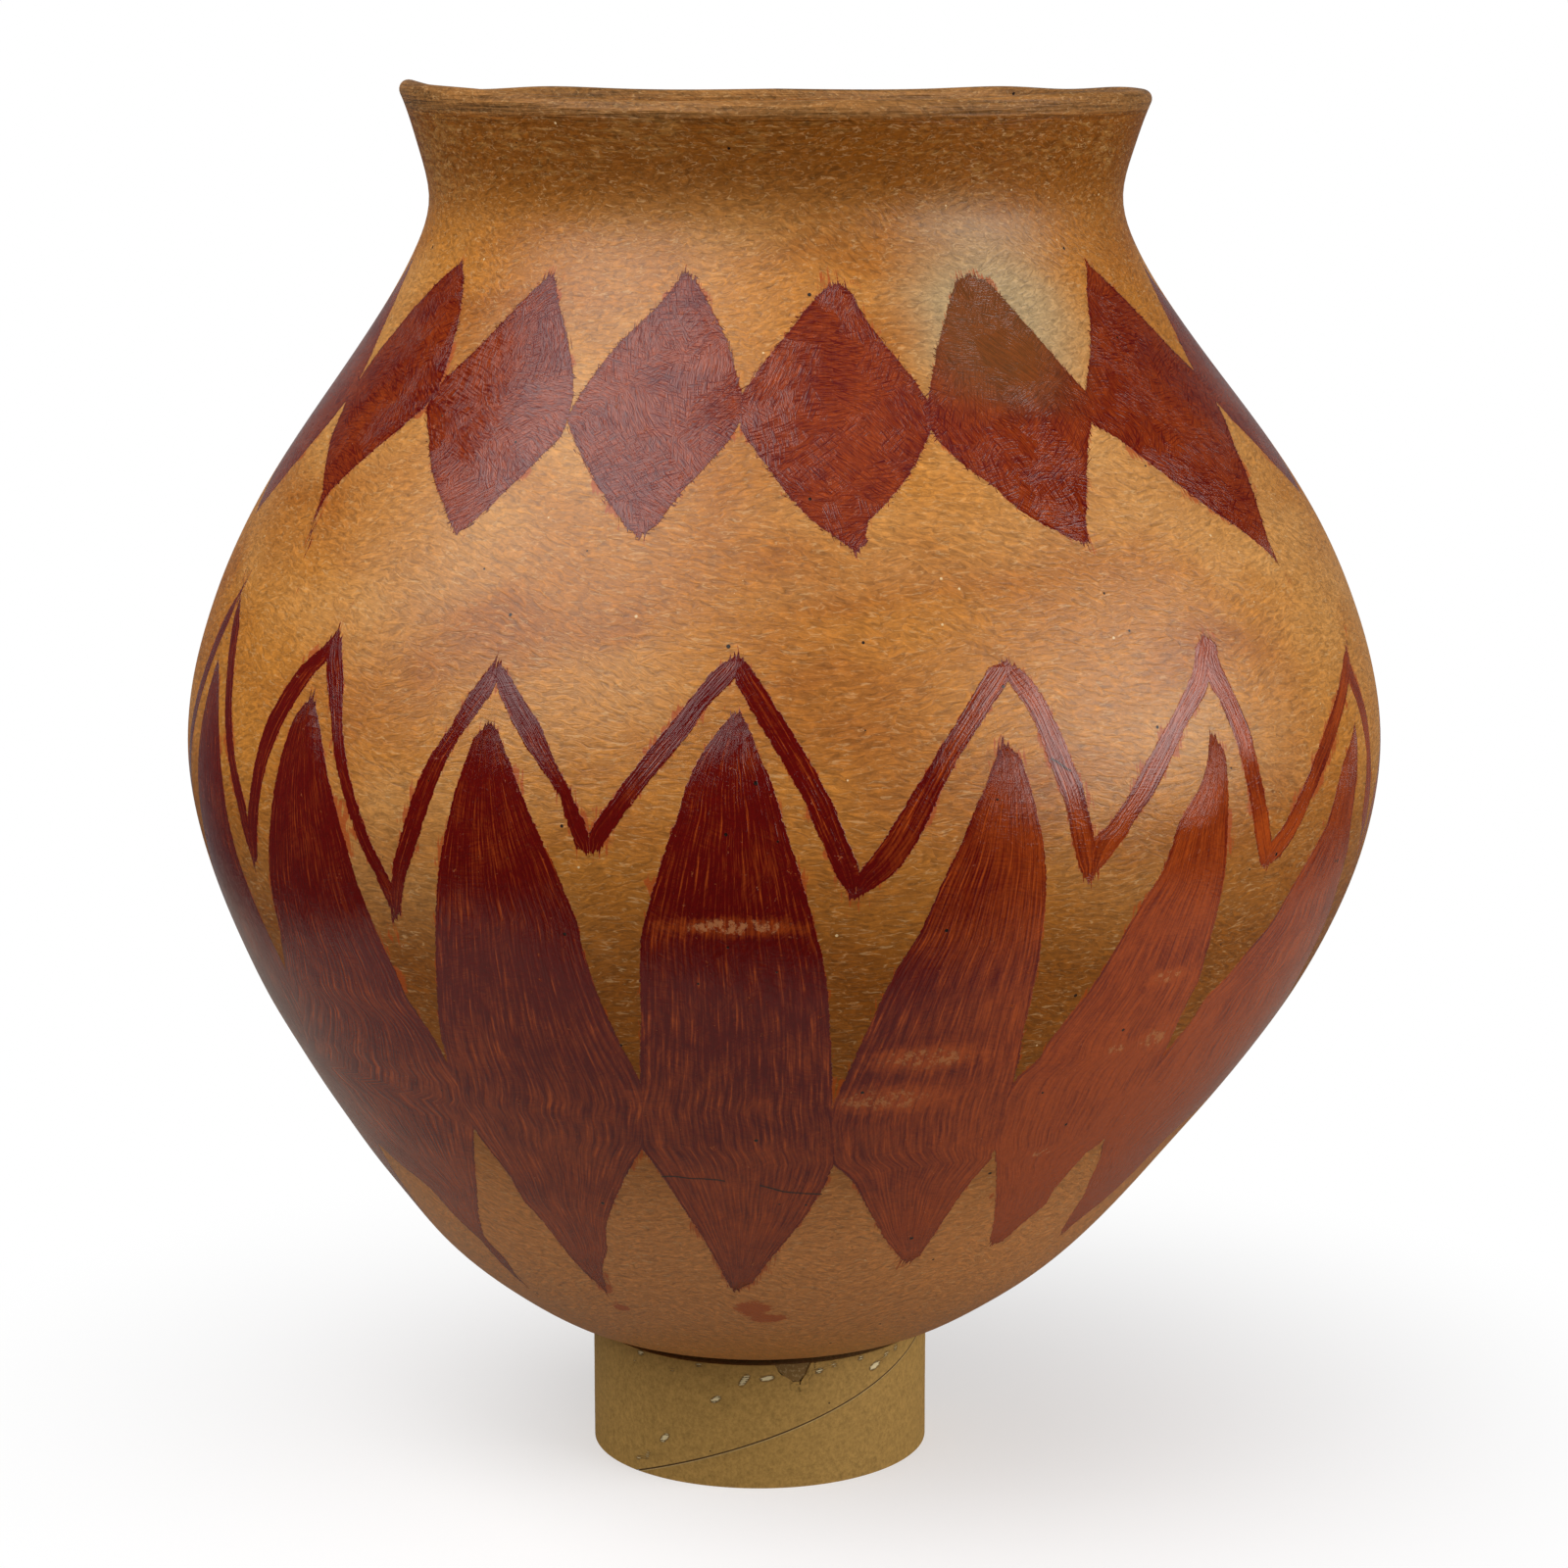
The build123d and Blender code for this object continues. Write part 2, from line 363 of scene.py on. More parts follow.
outside, inside = ply_sheet(ring_radius - face_inset), ply_sheet(ring_radius - ply_thickness)
ply = mesh_piece("ring_face_ply", np.stack([outside, inside]), sheet_faces(ply_rows, ply_columns))
ply.data.set_sharp_from_angle(angle=math.radians(40))
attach(ply, "ring")
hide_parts("ring_face_ply")


def fleck_depth(points):
    """How far each point lies inside the nearest fleck, in metres: half the fleck's width less the distance
    to its middle line, measured on the paper laid flat."""
    azimuth = np.arctan2(points[..., 0] - ring_centre[0], -points[..., 1])
    place, height, length, width, tilt = np.array(flecks).T[:, :, None, None]
    tilt = np.radians(tilt)
    off_round = ((azimuth - np.radians(place) + math.pi) % (2 * math.pi) - math.pi) * ring_radius
    off_up = points[..., 2] - height * mm
    along = off_round * np.cos(tilt) + off_up * np.sin(tilt)
    across = off_up * np.cos(tilt) - off_round * np.sin(tilt)
    beyond = np.maximum(np.abs(along) - (length - width) * mm / 2, 0)
    return (width * mm / 2 - np.hypot(beyond, across)).max(axis=0)


def keep_on_points(piece, name, kind, values):
    """Keeps a value for each point of a piece's mesh, for its material to read."""
    kept = piece.data.attributes.new(name, kind, "POINT")
    kept.data.foreach_set("value" if kind == "FLOAT" else "vector", np.ascontiguousarray(values).ravel())


fleck_values = fleck_depth(outside)
keep_on_points(ply, "fleck_depth", "FLOAT", np.stack([fleck_values, np.full_like(fleck_values, -mm)]))
keep_on_points(ply, "seam_reach", "FLOAT_VECTOR", np.stack([seam_reach(ring_radius)] * 2))


def specks(tree, place, spacing, rarest, largest, channel=0):
    """1 inside sparse round specks and 0 elsewhere. Each cell, so many millimetres across, has a chance from
    one channel of its colour: over the rarest value it gets a speck, and the larger, the larger."""
    cells = add(tree, "TexVoronoi", {"Vector": place, "Scale": 1000 / spacing})
    chance = add(tree, "SeparateColor", {0: cells.outputs["Color"]}).outputs[channel]
    size = add(tree, "MapRange", {"Value": chance, "From": (rarest, 1.0), "To": (0, largest)})
    return add(tree, "Math", {0: cells.outputs["Distance"], 1: size}, operation="LESS_THAN")


# Unbleached kraft paper, matt with a slight calendered sheen: mottled by its fibres, pale where a knock
# has lifted it, and brown where old glue has soaked in or shows as dots. A painted shadow rings each
# lifted fleck, and a painted highlight runs along the lower edge of the seam.
paper, tree = finish_named("kraft_paper")
place = add(tree, "TexCoord").outputs["Object"]
mottle = add(tree, "TexNoise", {
    "Vector": place, "Scale": 1000 / mottle_size, "Detail": 3.0, "Roughness": 0.6})
fibres = add(tree, "TexNoise", {
    "Vector": place, "Scale": 1000 / paper_fibre, "Detail": 3.0, "Roughness": 0.7})
shade = add(tree, "Math", {0: fibres, 1: 1.4, 2: mottle}, operation="MULTIPLY_ADD")
shaded = add(tree, "MapRange", {"Value": shade, "From": (0.78, 1.5)})
tone = add(tree, "Mix", {0: shaded, 6: kraft_dark, 7: kraft}, data_type="RGBA")
dotted = specks(tree, place, glue_dot_spacing, 0.72, 0.075)
specked = add(tree, "Mix", {0: dotted, 6: tone, 7: kraft_glue}, data_type="RGBA")
fleck = add(tree, "Attribute", attribute_name="fleck_depth").outputs["Fac"]
frayed = add(tree, "Math", {0: fibres, 1: 0.5 * mm, 2: fleck}, operation="MULTIPLY_ADD")
lifted = add(tree, "MapRange", {"Value": frayed, "From": (0.12 * mm, 0.30 * mm)})
# A dark rim just outside each fleck is painted shadow of the lifted paper.
fleck_shadow = add(tree, "MapRange", {"Value": frayed, "From": (-0.35 * mm, 0.05 * mm), "To": (0, 0.6)})
from_seam = add(tree, "Attribute", attribute_name="seam_reach").outputs["Vector"]
below_seam, above_seam, _ = add(tree, "SeparateXYZ", {0: from_seam}).outputs
glue_side = add(tree, "Math", {0: below_seam, 1: above_seam}, operation="MINIMUM")
glued = add(tree, "MapRange", {"Value": glue_side, "From": (seam_stain, 0.3 * mm), "To": (0, 0.95)})
glue_and_fleck_shadow = add(tree, "Math", {0: glued, 1: fleck_shadow}, operation="MAXIMUM")
glue_and_shadow_colour = add(tree, "Mix", {0: glue_and_fleck_shadow, 6: specked, 7: kraft_glue}, data_type="RGBA")
# A pale line along the seam's lower edge is a painted highlight, where that edge catches the light.
seam_edge_highlight = add(tree, "MapRange", {
    "Value": below_seam, "From": (3 * seam_stain, seam_stain), "To": (0, 0.35)})
beside = add(tree, "Math", {0: below_seam, 1: seam_stain}, operation="GREATER_THAN")
seam_edge_highlight = add(tree, "Math", {0: seam_edge_highlight, 1: beside}, operation="MULTIPLY")
fleck_and_highlight_share = add(tree, "Math", {0: lifted, 1: seam_edge_highlight}, operation="MAXIMUM")
# The paper's colour: real flecks and glue, with the painted shadow and painted highlight above.
paper_wear_and_light = add(tree, "Mix", {0: fleck_and_highlight_share, 6: glue_and_shadow_colour, 7: kraft_pale}, data_type="RGBA")
fleck_relief = add(tree, "Math", {0: lifted, 1: 0.35 * mm}, operation="MULTIPLY")
relief = add(tree, "Math", {0: fibres, 1: 0.06 * mm, 2: fleck_relief}, operation="MULTIPLY_ADD")
bumped = add(tree, "Bump", {"Height": relief, "Distance": 1.0, "Strength": 1.0})
matt_paper = add(tree, "BsdfPrincipled", {
    "Base Color": paper_wear_and_light, "Roughness": 0.72, "Specular IOR Level": 0.35, "Normal": bumped})
add(tree, "OutputMaterial", {"Surface": matt_paper})
ply.data.materials.append(paper)


# Olla
# The pot: coils of local clay, thinned by scraping, wiped with a wet hand at the lip and rubbed all over
# with a smooth stone, then painted with red iron slip, rubbed again and fired low in the open. It is
# one piece, round-bottomed, and stands in the ring by its own weight.
pot_low, pot_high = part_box("olla")
lip_height = pot_high[2]
base_height = pot_low[2]
belly_radius = (pot_high[1] - pot_low[1]) / 2
seat_radius, seat_height = 0.039, 0.0363
belly_height = 0.206
neck_radius, neck_height = 0.095, 0.356
mouth_radius = 0.104
base_thickness, wall, lip_thickness = 9 * mm, 7 * mm, 5 * mm
foot_lean, neck_lean = -0.007, -0.0023  # the foot and the neck stand this far to the left of the belly
foot_lean_end_share = 0.85  # of the way up to the belly
neck_lean_start_share = 0.29  # of the way from the belly to the neck
base_shares = [0.1, 0.15, 0.3, 0.55, 0.8]
lower_wall_shares = [(0.07, 0.010), (0.14, 0.026), (0.21, 0.053), (0.29, 0.093), (0.40, 0.160),
                     (0.535, 0.275), (0.69, 0.434), (0.84, 0.611), (0.94, 0.776)]
upper_wall_shares = [(0.085, 0.227), (0.268, 0.427), (0.549, 0.627), (0.803, 0.793), (0.937, 0.900)]
lip_flare_shares = [(0.333, 0.464), (0.69, 0.78)]
# How far the hand-made lip rises above the level, in millimetres, by azimuth in degrees.
lip_rises = [(-180, -1.2), (-164, -1.4), (-152, -0.9), (-138, 0.0), (-125, -0.4), (-110, 0.6), (-90, 3.3),
             (-70, 2.9), (-55, 2.4), (-42, 1.5), (-28, 0.2), (0, 0.0), (28, 0.4), (38, 0.8), (48, 1.4),
             (65, 1.3), (90, 0.8), (110, 0.6), (125, -0.4), (138, 0.0), (152, -0.9), (166, -1.4), (180, -1.2)]
pot_columns = 412
hand_wobble = 0.38 * mm
wiped_wobble, wiped_reach = 0.10 * mm, 5 * mm  # the wet hand's ridges, and how far down from the lip
# Lengths up the wall, in metres, where the rows of points change their spacing: near the middle of the
# base, at the seat, below the outside of the lip, and twice below its inside.
first_row, seat_row, under_lip, lip_inside, neck_inside = 1.5 * mm, 0.039, 0.014, 0.012, 0.060


def ease(share):
    """Goes smoothly from 0 to 1 as the share does, and holds beyond."""
    return (1 - np.cos(math.pi * np.clip(share, 0, 1))) / 2


def lean(height):
    """Sideways place of the pot's middle at a height."""
    lean_reach = (belly_height - seat_height) * foot_lean_end_share
    low = foot_lean * (1 - ease((height - seat_height) / lean_reach))
    start = belly_height + (neck_height - belly_height) * neck_lean_start_share
    return low + neck_lean * ease((height - start) / (neck_height - start))


def between(low, high, shares):
    """Circles of the wall between two others, at shares of the way in radius and in height."""
    return np.array(low) + np.array(shares) * (np.array(high) - np.array(low))


def smooth_through(knots, values, places):
    """A natural cubic spline: cubics between the knots, equal in slope and in bend where they meet, with no
    bend at the two ends. The bends come from one set of linear equations."""
    step = np.diff(knots)
    slope = np.diff(values) / step
    system = np.diag(np.r_[1, 2 * (step[:-1] + step[1:]), 1])
    system += np.diag(np.r_[0, step[1:]], 1) + np.diag(np.r_[step[:-1], 0], -1)
    bend = np.linalg.solve(system, np.r_[0, 3 * np.diff(slope), 0])
    run = np.clip(np.searchsorted(knots, places) - 1, 0, len(step) - 1)
    gone = places - knots[run]
    first = slope[run] - step[run] * (2 * bend[run] + bend[run + 1]) / 3
    third = gone * (bend[run + 1] - bend[run]) / (3 * step[run])
    return values[run] + gone * (first + gone * (bend[run] + third))


seat, belly = (seat_radius, seat_height), (belly_radius, belly_height)
neck, lip = (neck_radius, neck_height), (mouth_radius, lip_height)
base = [(share * seat_radius, base_height + share ** 2 * (seat_height - base_height))
        for share in base_shares]
stations = np.vstack([
    (0, base_height), base, seat, between(seat, belly, lower_wall_shares), belly,
    between(belly, neck, upper_wall_shares), neck, between(neck, lip, lip_flare_shares), lip])
run_lengths = np.r_[0, np.cumsum(np.hypot(*np.diff(stations, axis=0).T))]
fine = np.linspace(0, run_lengths[-1], 6000)
wall_radius = smooth_through(run_lengths, stations[:, 0], fine)
wall_height = smooth_through(run_lengths, stations[:, 1], fine)
wall_length = np.r_[0, np.cumsum(np.hypot(np.diff(wall_radius), np.diff(wall_height)))]
outwards = np.gradient(wall_radius, wall_length)
upwards = np.gradient(wall_height, wall_length)
below_belly = (wall_height - base_height) / (belly_height - base_height)
above_belly = (wall_height - belly_height) / (lip_height - belly_height)
thickness = np.where(wall_height < belly_height,
                     base_thickness + (wall - base_thickness) * ease(2 * below_belly),
                     wall + (lip_thickness - wall) * ease(above_belly))


def wall_at(length, depth_share):
    """(radius, height) of the wall at a length up its outside, that share of its thickness inwards."""
    across, up = np.interp(length, wall_length, outwards), np.interp(length, wall_length, upwards)
    depth = depth_share * np.interp(length, wall_length, thickness)
    radius = np.interp(length, wall_length, wall_radius) - depth * up
    height = np.interp(length, wall_length, wall_height) + depth * across
    return np.stack([radius, height], axis=-1)


def rows_between(start, end, spacing):
    """Lengths from start towards end, evenly spaced, without the end."""
    return np.linspace(start, end, math.ceil(abs(end - start) / spacing), endpoint=False)


# The profile runs from the middle of the base up the outside, over a half-round lip and down the inside.
half_lip = lip_thickness / 2
lip_length = np.interp(lip_height - half_lip, wall_at(wall_length, 0.5)[:, 1], wall_length)
outer_rows = np.r_[rows_between(first_row, seat_row, 4 * mm),
                   rows_between(seat_row, lip_length - under_lip, 2.8 * mm),
                   rows_between(lip_length - under_lip, lip_length, 1.0 * mm)]
inner_rows = np.r_[rows_between(lip_length, lip_length - lip_inside, 1.2 * mm),
                   rows_between(lip_length - lip_inside, lip_length - neck_inside, 3 * mm),
                   rows_between(lip_length - neck_inside, 3 * mm, 12 * mm)]
turn = np.linspace(0, math.pi, 12)[:-1, None]
lip_out, lip_up = np.interp(lip_length, wall_length, outwards), np.interp(lip_length, wall_length, upwards)
lip_arc = wall_at(lip_length, 0.5) + half_lip * (
    np.cos(turn) * np.array([lip_up, -lip_out]) + np.sin(turn) * np.array([lip_out, lip_up]))
profile = np.vstack([wall_at(outer_rows, 0), lip_arc, wall_at(inner_rows, 1)])
azimuths = np.linspace(-math.pi, math.pi, pot_columns, endpoint=False)
row_length = np.r_[outer_rows, np.full(len(lip_arc), lip_length), inner_rows]

# The hand has left the wall uneven: long swells all over, and flatter scraped patches low on the belly.
swell = waves(azimuths[None, :], row_length[:, None] * 9, 26, 9, seed=11)
scraped = waves(azimuths[None, :], row_length[:, None] * 26, 40, 16, seed=17)
low_wall = 1 - ease((row_length[:, None] - 0.10) / 0.14)
clear_of_ring = ease((row_length[:, None] - 0.045) / 0.04)
uneven = hand_wobble * clear_of_ring * (swell + (0.45 + 0.75 * low_wall) * scraped)
wiped = np.exp(-((lip_height - profile[:, 1:]) / wiped_reach) ** 2)
uneven += wiped_wobble * wiped * waves(azimuths[None, :], row_length[:, None] * 1400, 30, 5, seed=23)
pot_points = turned(profile, azimuths)
middle = lean(profile[:, 1])[:, None]
pot_points[..., 0] += uneven * np.sin(azimuths) + middle
pot_points[..., 1] -= uneven * np.cos(azimuths)
rise_azimuths, rises = np.radians(np.array(lip_rises)[:, 0]), np.array(lip_rises)[:, 1] * mm
lip_rise = smooth_through(rise_azimuths, rises, azimuths)
pot_points[..., 2] += lip_rise * ease((profile[:, 1:] - neck_height) / (lip_height - neck_height))

pole_low = [lean(base_height), 0, base_height]
pole_high = [lean(base_height), 0, base_height + base_thickness]
rows = len(profile)
pole = rows * pot_columns
around = np.arange(pot_columns)
beside = (around + 1) % pot_columns
top_row = (rows - 1) * pot_columns
base_fan = np.stack([np.full_like(around, pole), beside, around], axis=-1).tolist()
floor_fan = np.stack([top_row + around, top_row + beside, np.full_like(around, pole + 1)], axis=-1).tolist()
pot = mesh_piece("olla", np.vstack([pot_points.reshape(-1, 3), pole_low, pole_high]),
                 grid_faces(rows, pot_columns, round_columns=True) + base_fan + floor_fan)
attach(pot, "olla")
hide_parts("olla")

# The painted bands: a chain of diamonds round the shoulder, a zigzag line round the belly, and a row of
# pointed leaves below it, sixteen of each. The painter drew each motif between two edges, a left and a
# right one, and each edge is a list of points from its foot to its top. The front ones are pixels of the
# photograph, found again on the wall, and those that it doesn't show are drawn like them.
sight_near, sight_far, sight_steps = 0.9, 1.4, 5000  # metres from the camera, and steps between them


def found_on_wall(pixels):
    """(azimuth, height) of points of the photograph: each pixel's line of sight is followed in small steps
    to where it first comes inside the pot's outer wall, or comes nearest to it."""
    across, down = np.array(pixels, float).T
    forward = np.array([0, math.cos(looks_down), -math.sin(looks_down)])
    upward = np.array([0, math.sin(looks_down), math.cos(looks_down)])
    sight = (forward + np.outer(across - photo_side / 2, [1, 0, 0]) / focal_length
             + np.outer(photo_side / 2 - down, upward) / focal_length)
    steps = np.linspace(sight_near, sight_far, sight_steps)[:, None]
    x, y, z = (eye[axis] + steps * sight[:, axis] for axis in range(3))
    upper = wall_height > seat_height
    gap = np.hypot(x - lean(z), y) - np.interp(z, wall_height[upper], wall_radius[upper])
    inside = gap < 0
    hit = np.where(inside.any(axis=0), inside.argmax(axis=0), gap.argmin(axis=0))
    pick = np.arange(len(hit))
    height = z[hit, pick]
    return np.stack([np.arctan2(x[hit, pick] - lean(height), -y[hit, pick]), height], axis=-1)


def edge(seen, hidden=()):
    """One edge of a motif from its foot to its top: pixels of the photograph, and further points round the
    side of the pot given as (degrees, millimetres)."""
    points = found_on_wall(seen)
    if hidden:
        points = np.vstack([points, np.array(hidden) * [math.pi / 180, mm]])
    return points[np.argsort(points[:, 1])]


# Each pair is a left edge and a right edge, from the foot of the motif to its top.
diamonds_seen = [
    ([(321, 530), (329, 503), (330, 491), (339, 444), (351, 416), (355, 403), (388, 356), (421, 315),
      (445, 289), (463, 273), (471, 266)],
     [(323, 530), (333, 505), (357, 481), (376, 464), (400, 444), (421, 426), (437, 413), (449, 393),
      (459, 362), (468, 328), (472, 297), (473, 281), (471, 266)]),
    ([(464, 547), (459, 532), (449, 507), (441, 485), (437, 444), (435, 413), (453, 387), (480, 362),
      (504, 338), (535, 305), (555, 286), (563, 278)],
     [(464, 547), (468, 545), (486, 530), (514, 503), (545, 473), (574, 444), (584, 412), (585, 387),
      (582, 358), (576, 330), (569, 303), (567, 285), (563, 278)]),
    ([(652, 548), (643, 542), (627, 521), (608, 491), (590, 459), (578, 427), (590, 405), (608, 379),
      (632, 349), (662, 322), (686, 295), (698, 277)],
     [(652, 548), (670, 537), (694, 504), (721, 475), (745, 448), (761, 421), (757, 400), (750, 376),
      (742, 346), (726, 314), (707, 282), (698, 277)]),
    ([(873, 565), (855, 550), (828, 531), (801, 502), (780, 472), (758, 443), (752, 420), (758, 400),
      (777, 373), (796, 349), (817, 322), (836, 298), (852, 288)],
     [(873, 565), (885, 558), (884, 534), (906, 512), (924, 491), (940, 462), (953, 432), (948, 411),
      (930, 384), (914, 365), (892, 338), (876, 314), (868, 295), (852, 288)]),
    ([(1110, 558), (1096, 551), (1068, 537), (1040, 521), (1012, 495), (981, 473), (956, 448), (944, 429),
      (946, 408), (950, 386), (956, 352), (964, 324), (970, 302), (974, 288), (987, 280)],
     [(1110, 558), (1108, 535), (1108, 507), (1109, 478), (1110, 448), (1114, 428), (1112, 405), (1102, 394),
      (1082, 372), (1063, 349), (1040, 324), (1018, 299), (1001, 283), (987, 280)]),
    ([(1303, 575), (1293, 563), (1265, 540), (1237, 521), (1203, 495), (1169, 470), (1141, 448), (1112, 431),
      (1105, 415), (1107, 400), (1109, 380), (1112, 358), (1112, 330), (1109, 296), (1109, 268)],
     [(1303, 575), (1293, 551), (1284, 521), (1273, 487), (1259, 453), (1252, 432), (1240, 408), (1223, 383),
      (1209, 369), (1192, 352), (1169, 327), (1147, 304), (1124, 282), (1109, 268)]),
]
diamond_hidden_sides = [68.2, 90.5, 113.6, 135.2, 158.6, 180.4, 203.1, 224.4, 247.5, 269.0, 291.3]
diamond_heights = {"side": 307, "top": 340, "foot": 274}

rising_seen = [
    ([(259, 886), (252, 850), (255, 808), (262, 767), (272, 735), (288, 706), (307, 679), (329, 660),
      (343, 644)],
     [(259, 886), (263, 875), (264, 821), (272, 778), (286, 743), (302, 714), (320, 687), (334, 674),
      (343, 644)]),
    ([(401, 939), (399, 910), (401, 880), (412, 842), (422, 808), (438, 773), (460, 741), (476, 711),
      (495, 687), (507, 672)],
     [(401, 939), (408, 934), (414, 896), (428, 853), (441, 813), (457, 773), (473, 746), (489, 725),
      (503, 706), (510, 690), (507, 672)]),
    ([(603, 873), (598, 862), (601, 849), (621, 819), (662, 765), (693, 727), (726, 686), (751, 666)],
     [(603, 873), (611, 869), (642, 824), (670, 788), (703, 750), (723, 719), (749, 694), (758, 680),
      (751, 666)]),
    ([(872, 917), (871, 900), (876, 891), (902, 857), (927, 816), (960, 761), (978, 733), (998, 699),
      (1011, 680), (1027, 674)],
     [(872, 917), (880, 912), (899, 903), (917, 887), (938, 857), (960, 808), (978, 773), (998, 743),
      (1014, 717), (1029, 698), (1033, 682), (1027, 674)]),
    ([(1113, 902), (1113, 870), (1115, 853), (1127, 846), (1142, 827), (1154, 808), (1168, 780), (1183, 755),
      (1195, 733), (1209, 705), (1218, 683), (1220, 655), (1229, 647)],
     [(1113, 902), (1120, 891), (1133, 875), (1148, 855), (1162, 831), (1177, 811), (1189, 787), (1201, 761),
      (1212, 737), (1224, 720), (1234, 699), (1239, 656), (1229, 647)]),
    ([(1290, 885), (1294, 868), (1298, 855), (1308, 846), (1319, 825), (1330, 802), (1341, 773), (1352, 743),
      (1362, 714), (1368, 687), (1371, 667), (1373, 657)],
     [(1290, 885), (1299, 881), (1309, 869), (1318, 858), (1330, 834), (1338, 814), (1347, 793), (1356, 770),
      (1365, 743), (1371, 720), (1376, 695), (1377, 670), (1373, 657)]),
]
falling_seen = [
    ([(260, 886), (251, 858), (242, 820), (233, 776), (229, 735), (231, 690), (237, 640), (247, 599)],
     [(260, 886), (257, 858), (250, 820), (240, 776), (236, 735), (238, 690), (244, 640), (247, 599)]),
    ([(402, 939), (395, 920), (382, 891), (366, 859), (353, 821), (342, 778), (337, 730), (332, 679),
      (336, 655), (344, 643)],
     [(402, 939), (405, 915), (396, 893), (382, 867), (366, 826), (355, 784), (349, 741), (350, 692),
      (348, 650), (344, 643)]),
    ([(603, 873), (591, 867), (580, 842), (570, 810), (556, 789), (537, 762), (521, 733), (508, 703),
      (503, 685), (507, 672)],
     [(603, 873), (603, 855), (596, 838), (580, 802), (564, 770), (551, 738), (532, 709), (516, 682),
      (507, 672)]),
    ([(872, 918), (865, 914), (853, 893), (838, 859), (820, 816), (797, 775), (772, 734), (750, 695),
      (746, 680), (751, 666)],
     [(872, 918), (878, 900), (876, 885), (851, 822), (830, 782), (805, 741), (779, 700), (764, 677),
      (751, 666)]),
    ([(1113, 903), (1107, 899), (1101, 884), (1095, 863), (1091, 837), (1086, 817), (1077, 793), (1069, 773),
      (1057, 740), (1048, 723), (1038, 708), (1029, 698), (1025, 684), (1028, 674)],
     [(1113, 903), (1119, 880), (1116, 852), (1110, 825), (1104, 799), (1095, 780), (1086, 755), (1077, 736),
      (1067, 715), (1057, 699), (1046, 686), (1033, 677), (1028, 674)]),
    ([(1292, 885), (1286, 882), (1281, 855), (1278, 831), (1274, 808), (1268, 781), (1262, 758), (1253, 734),
      (1243, 711), (1234, 699), (1227, 675), (1231, 648)],
     [(1292, 885), (1299, 872), (1297, 852), (1294, 831), (1289, 802), (1283, 775), (1275, 743), (1265, 720),
      (1253, 695), (1243, 673), (1241, 655), (1231, 648)]),
    ([(1387, 858), (1389, 831), (1393, 796), (1394, 766), (1391, 746), (1384, 717), (1376, 695), (1372, 672),
      (1374, 657)],
     [(1387, 858), (1394, 831), (1398, 784), (1397, 755), (1394, 729), (1385, 699), (1377, 676),
      (1374, 657)]),
]
# Where the line turns on the far side, as (degrees, millimetres): valleys and peaks by turns.
line_hidden_turns = [(73, 182), (91, 250), (102, 193), (113.6, 247), (125, 190), (135.8, 251), (147, 188),
                     (158, 249), (169.6, 195), (180.5, 252), (191.5, 191), (202.6, 248), (214, 189),
                     (224.8, 250), (236, 194), (247, 246), (258, 190), (269.2, 251), (280, 188), (291, 255)]
line_width = 5.5  # millimetres

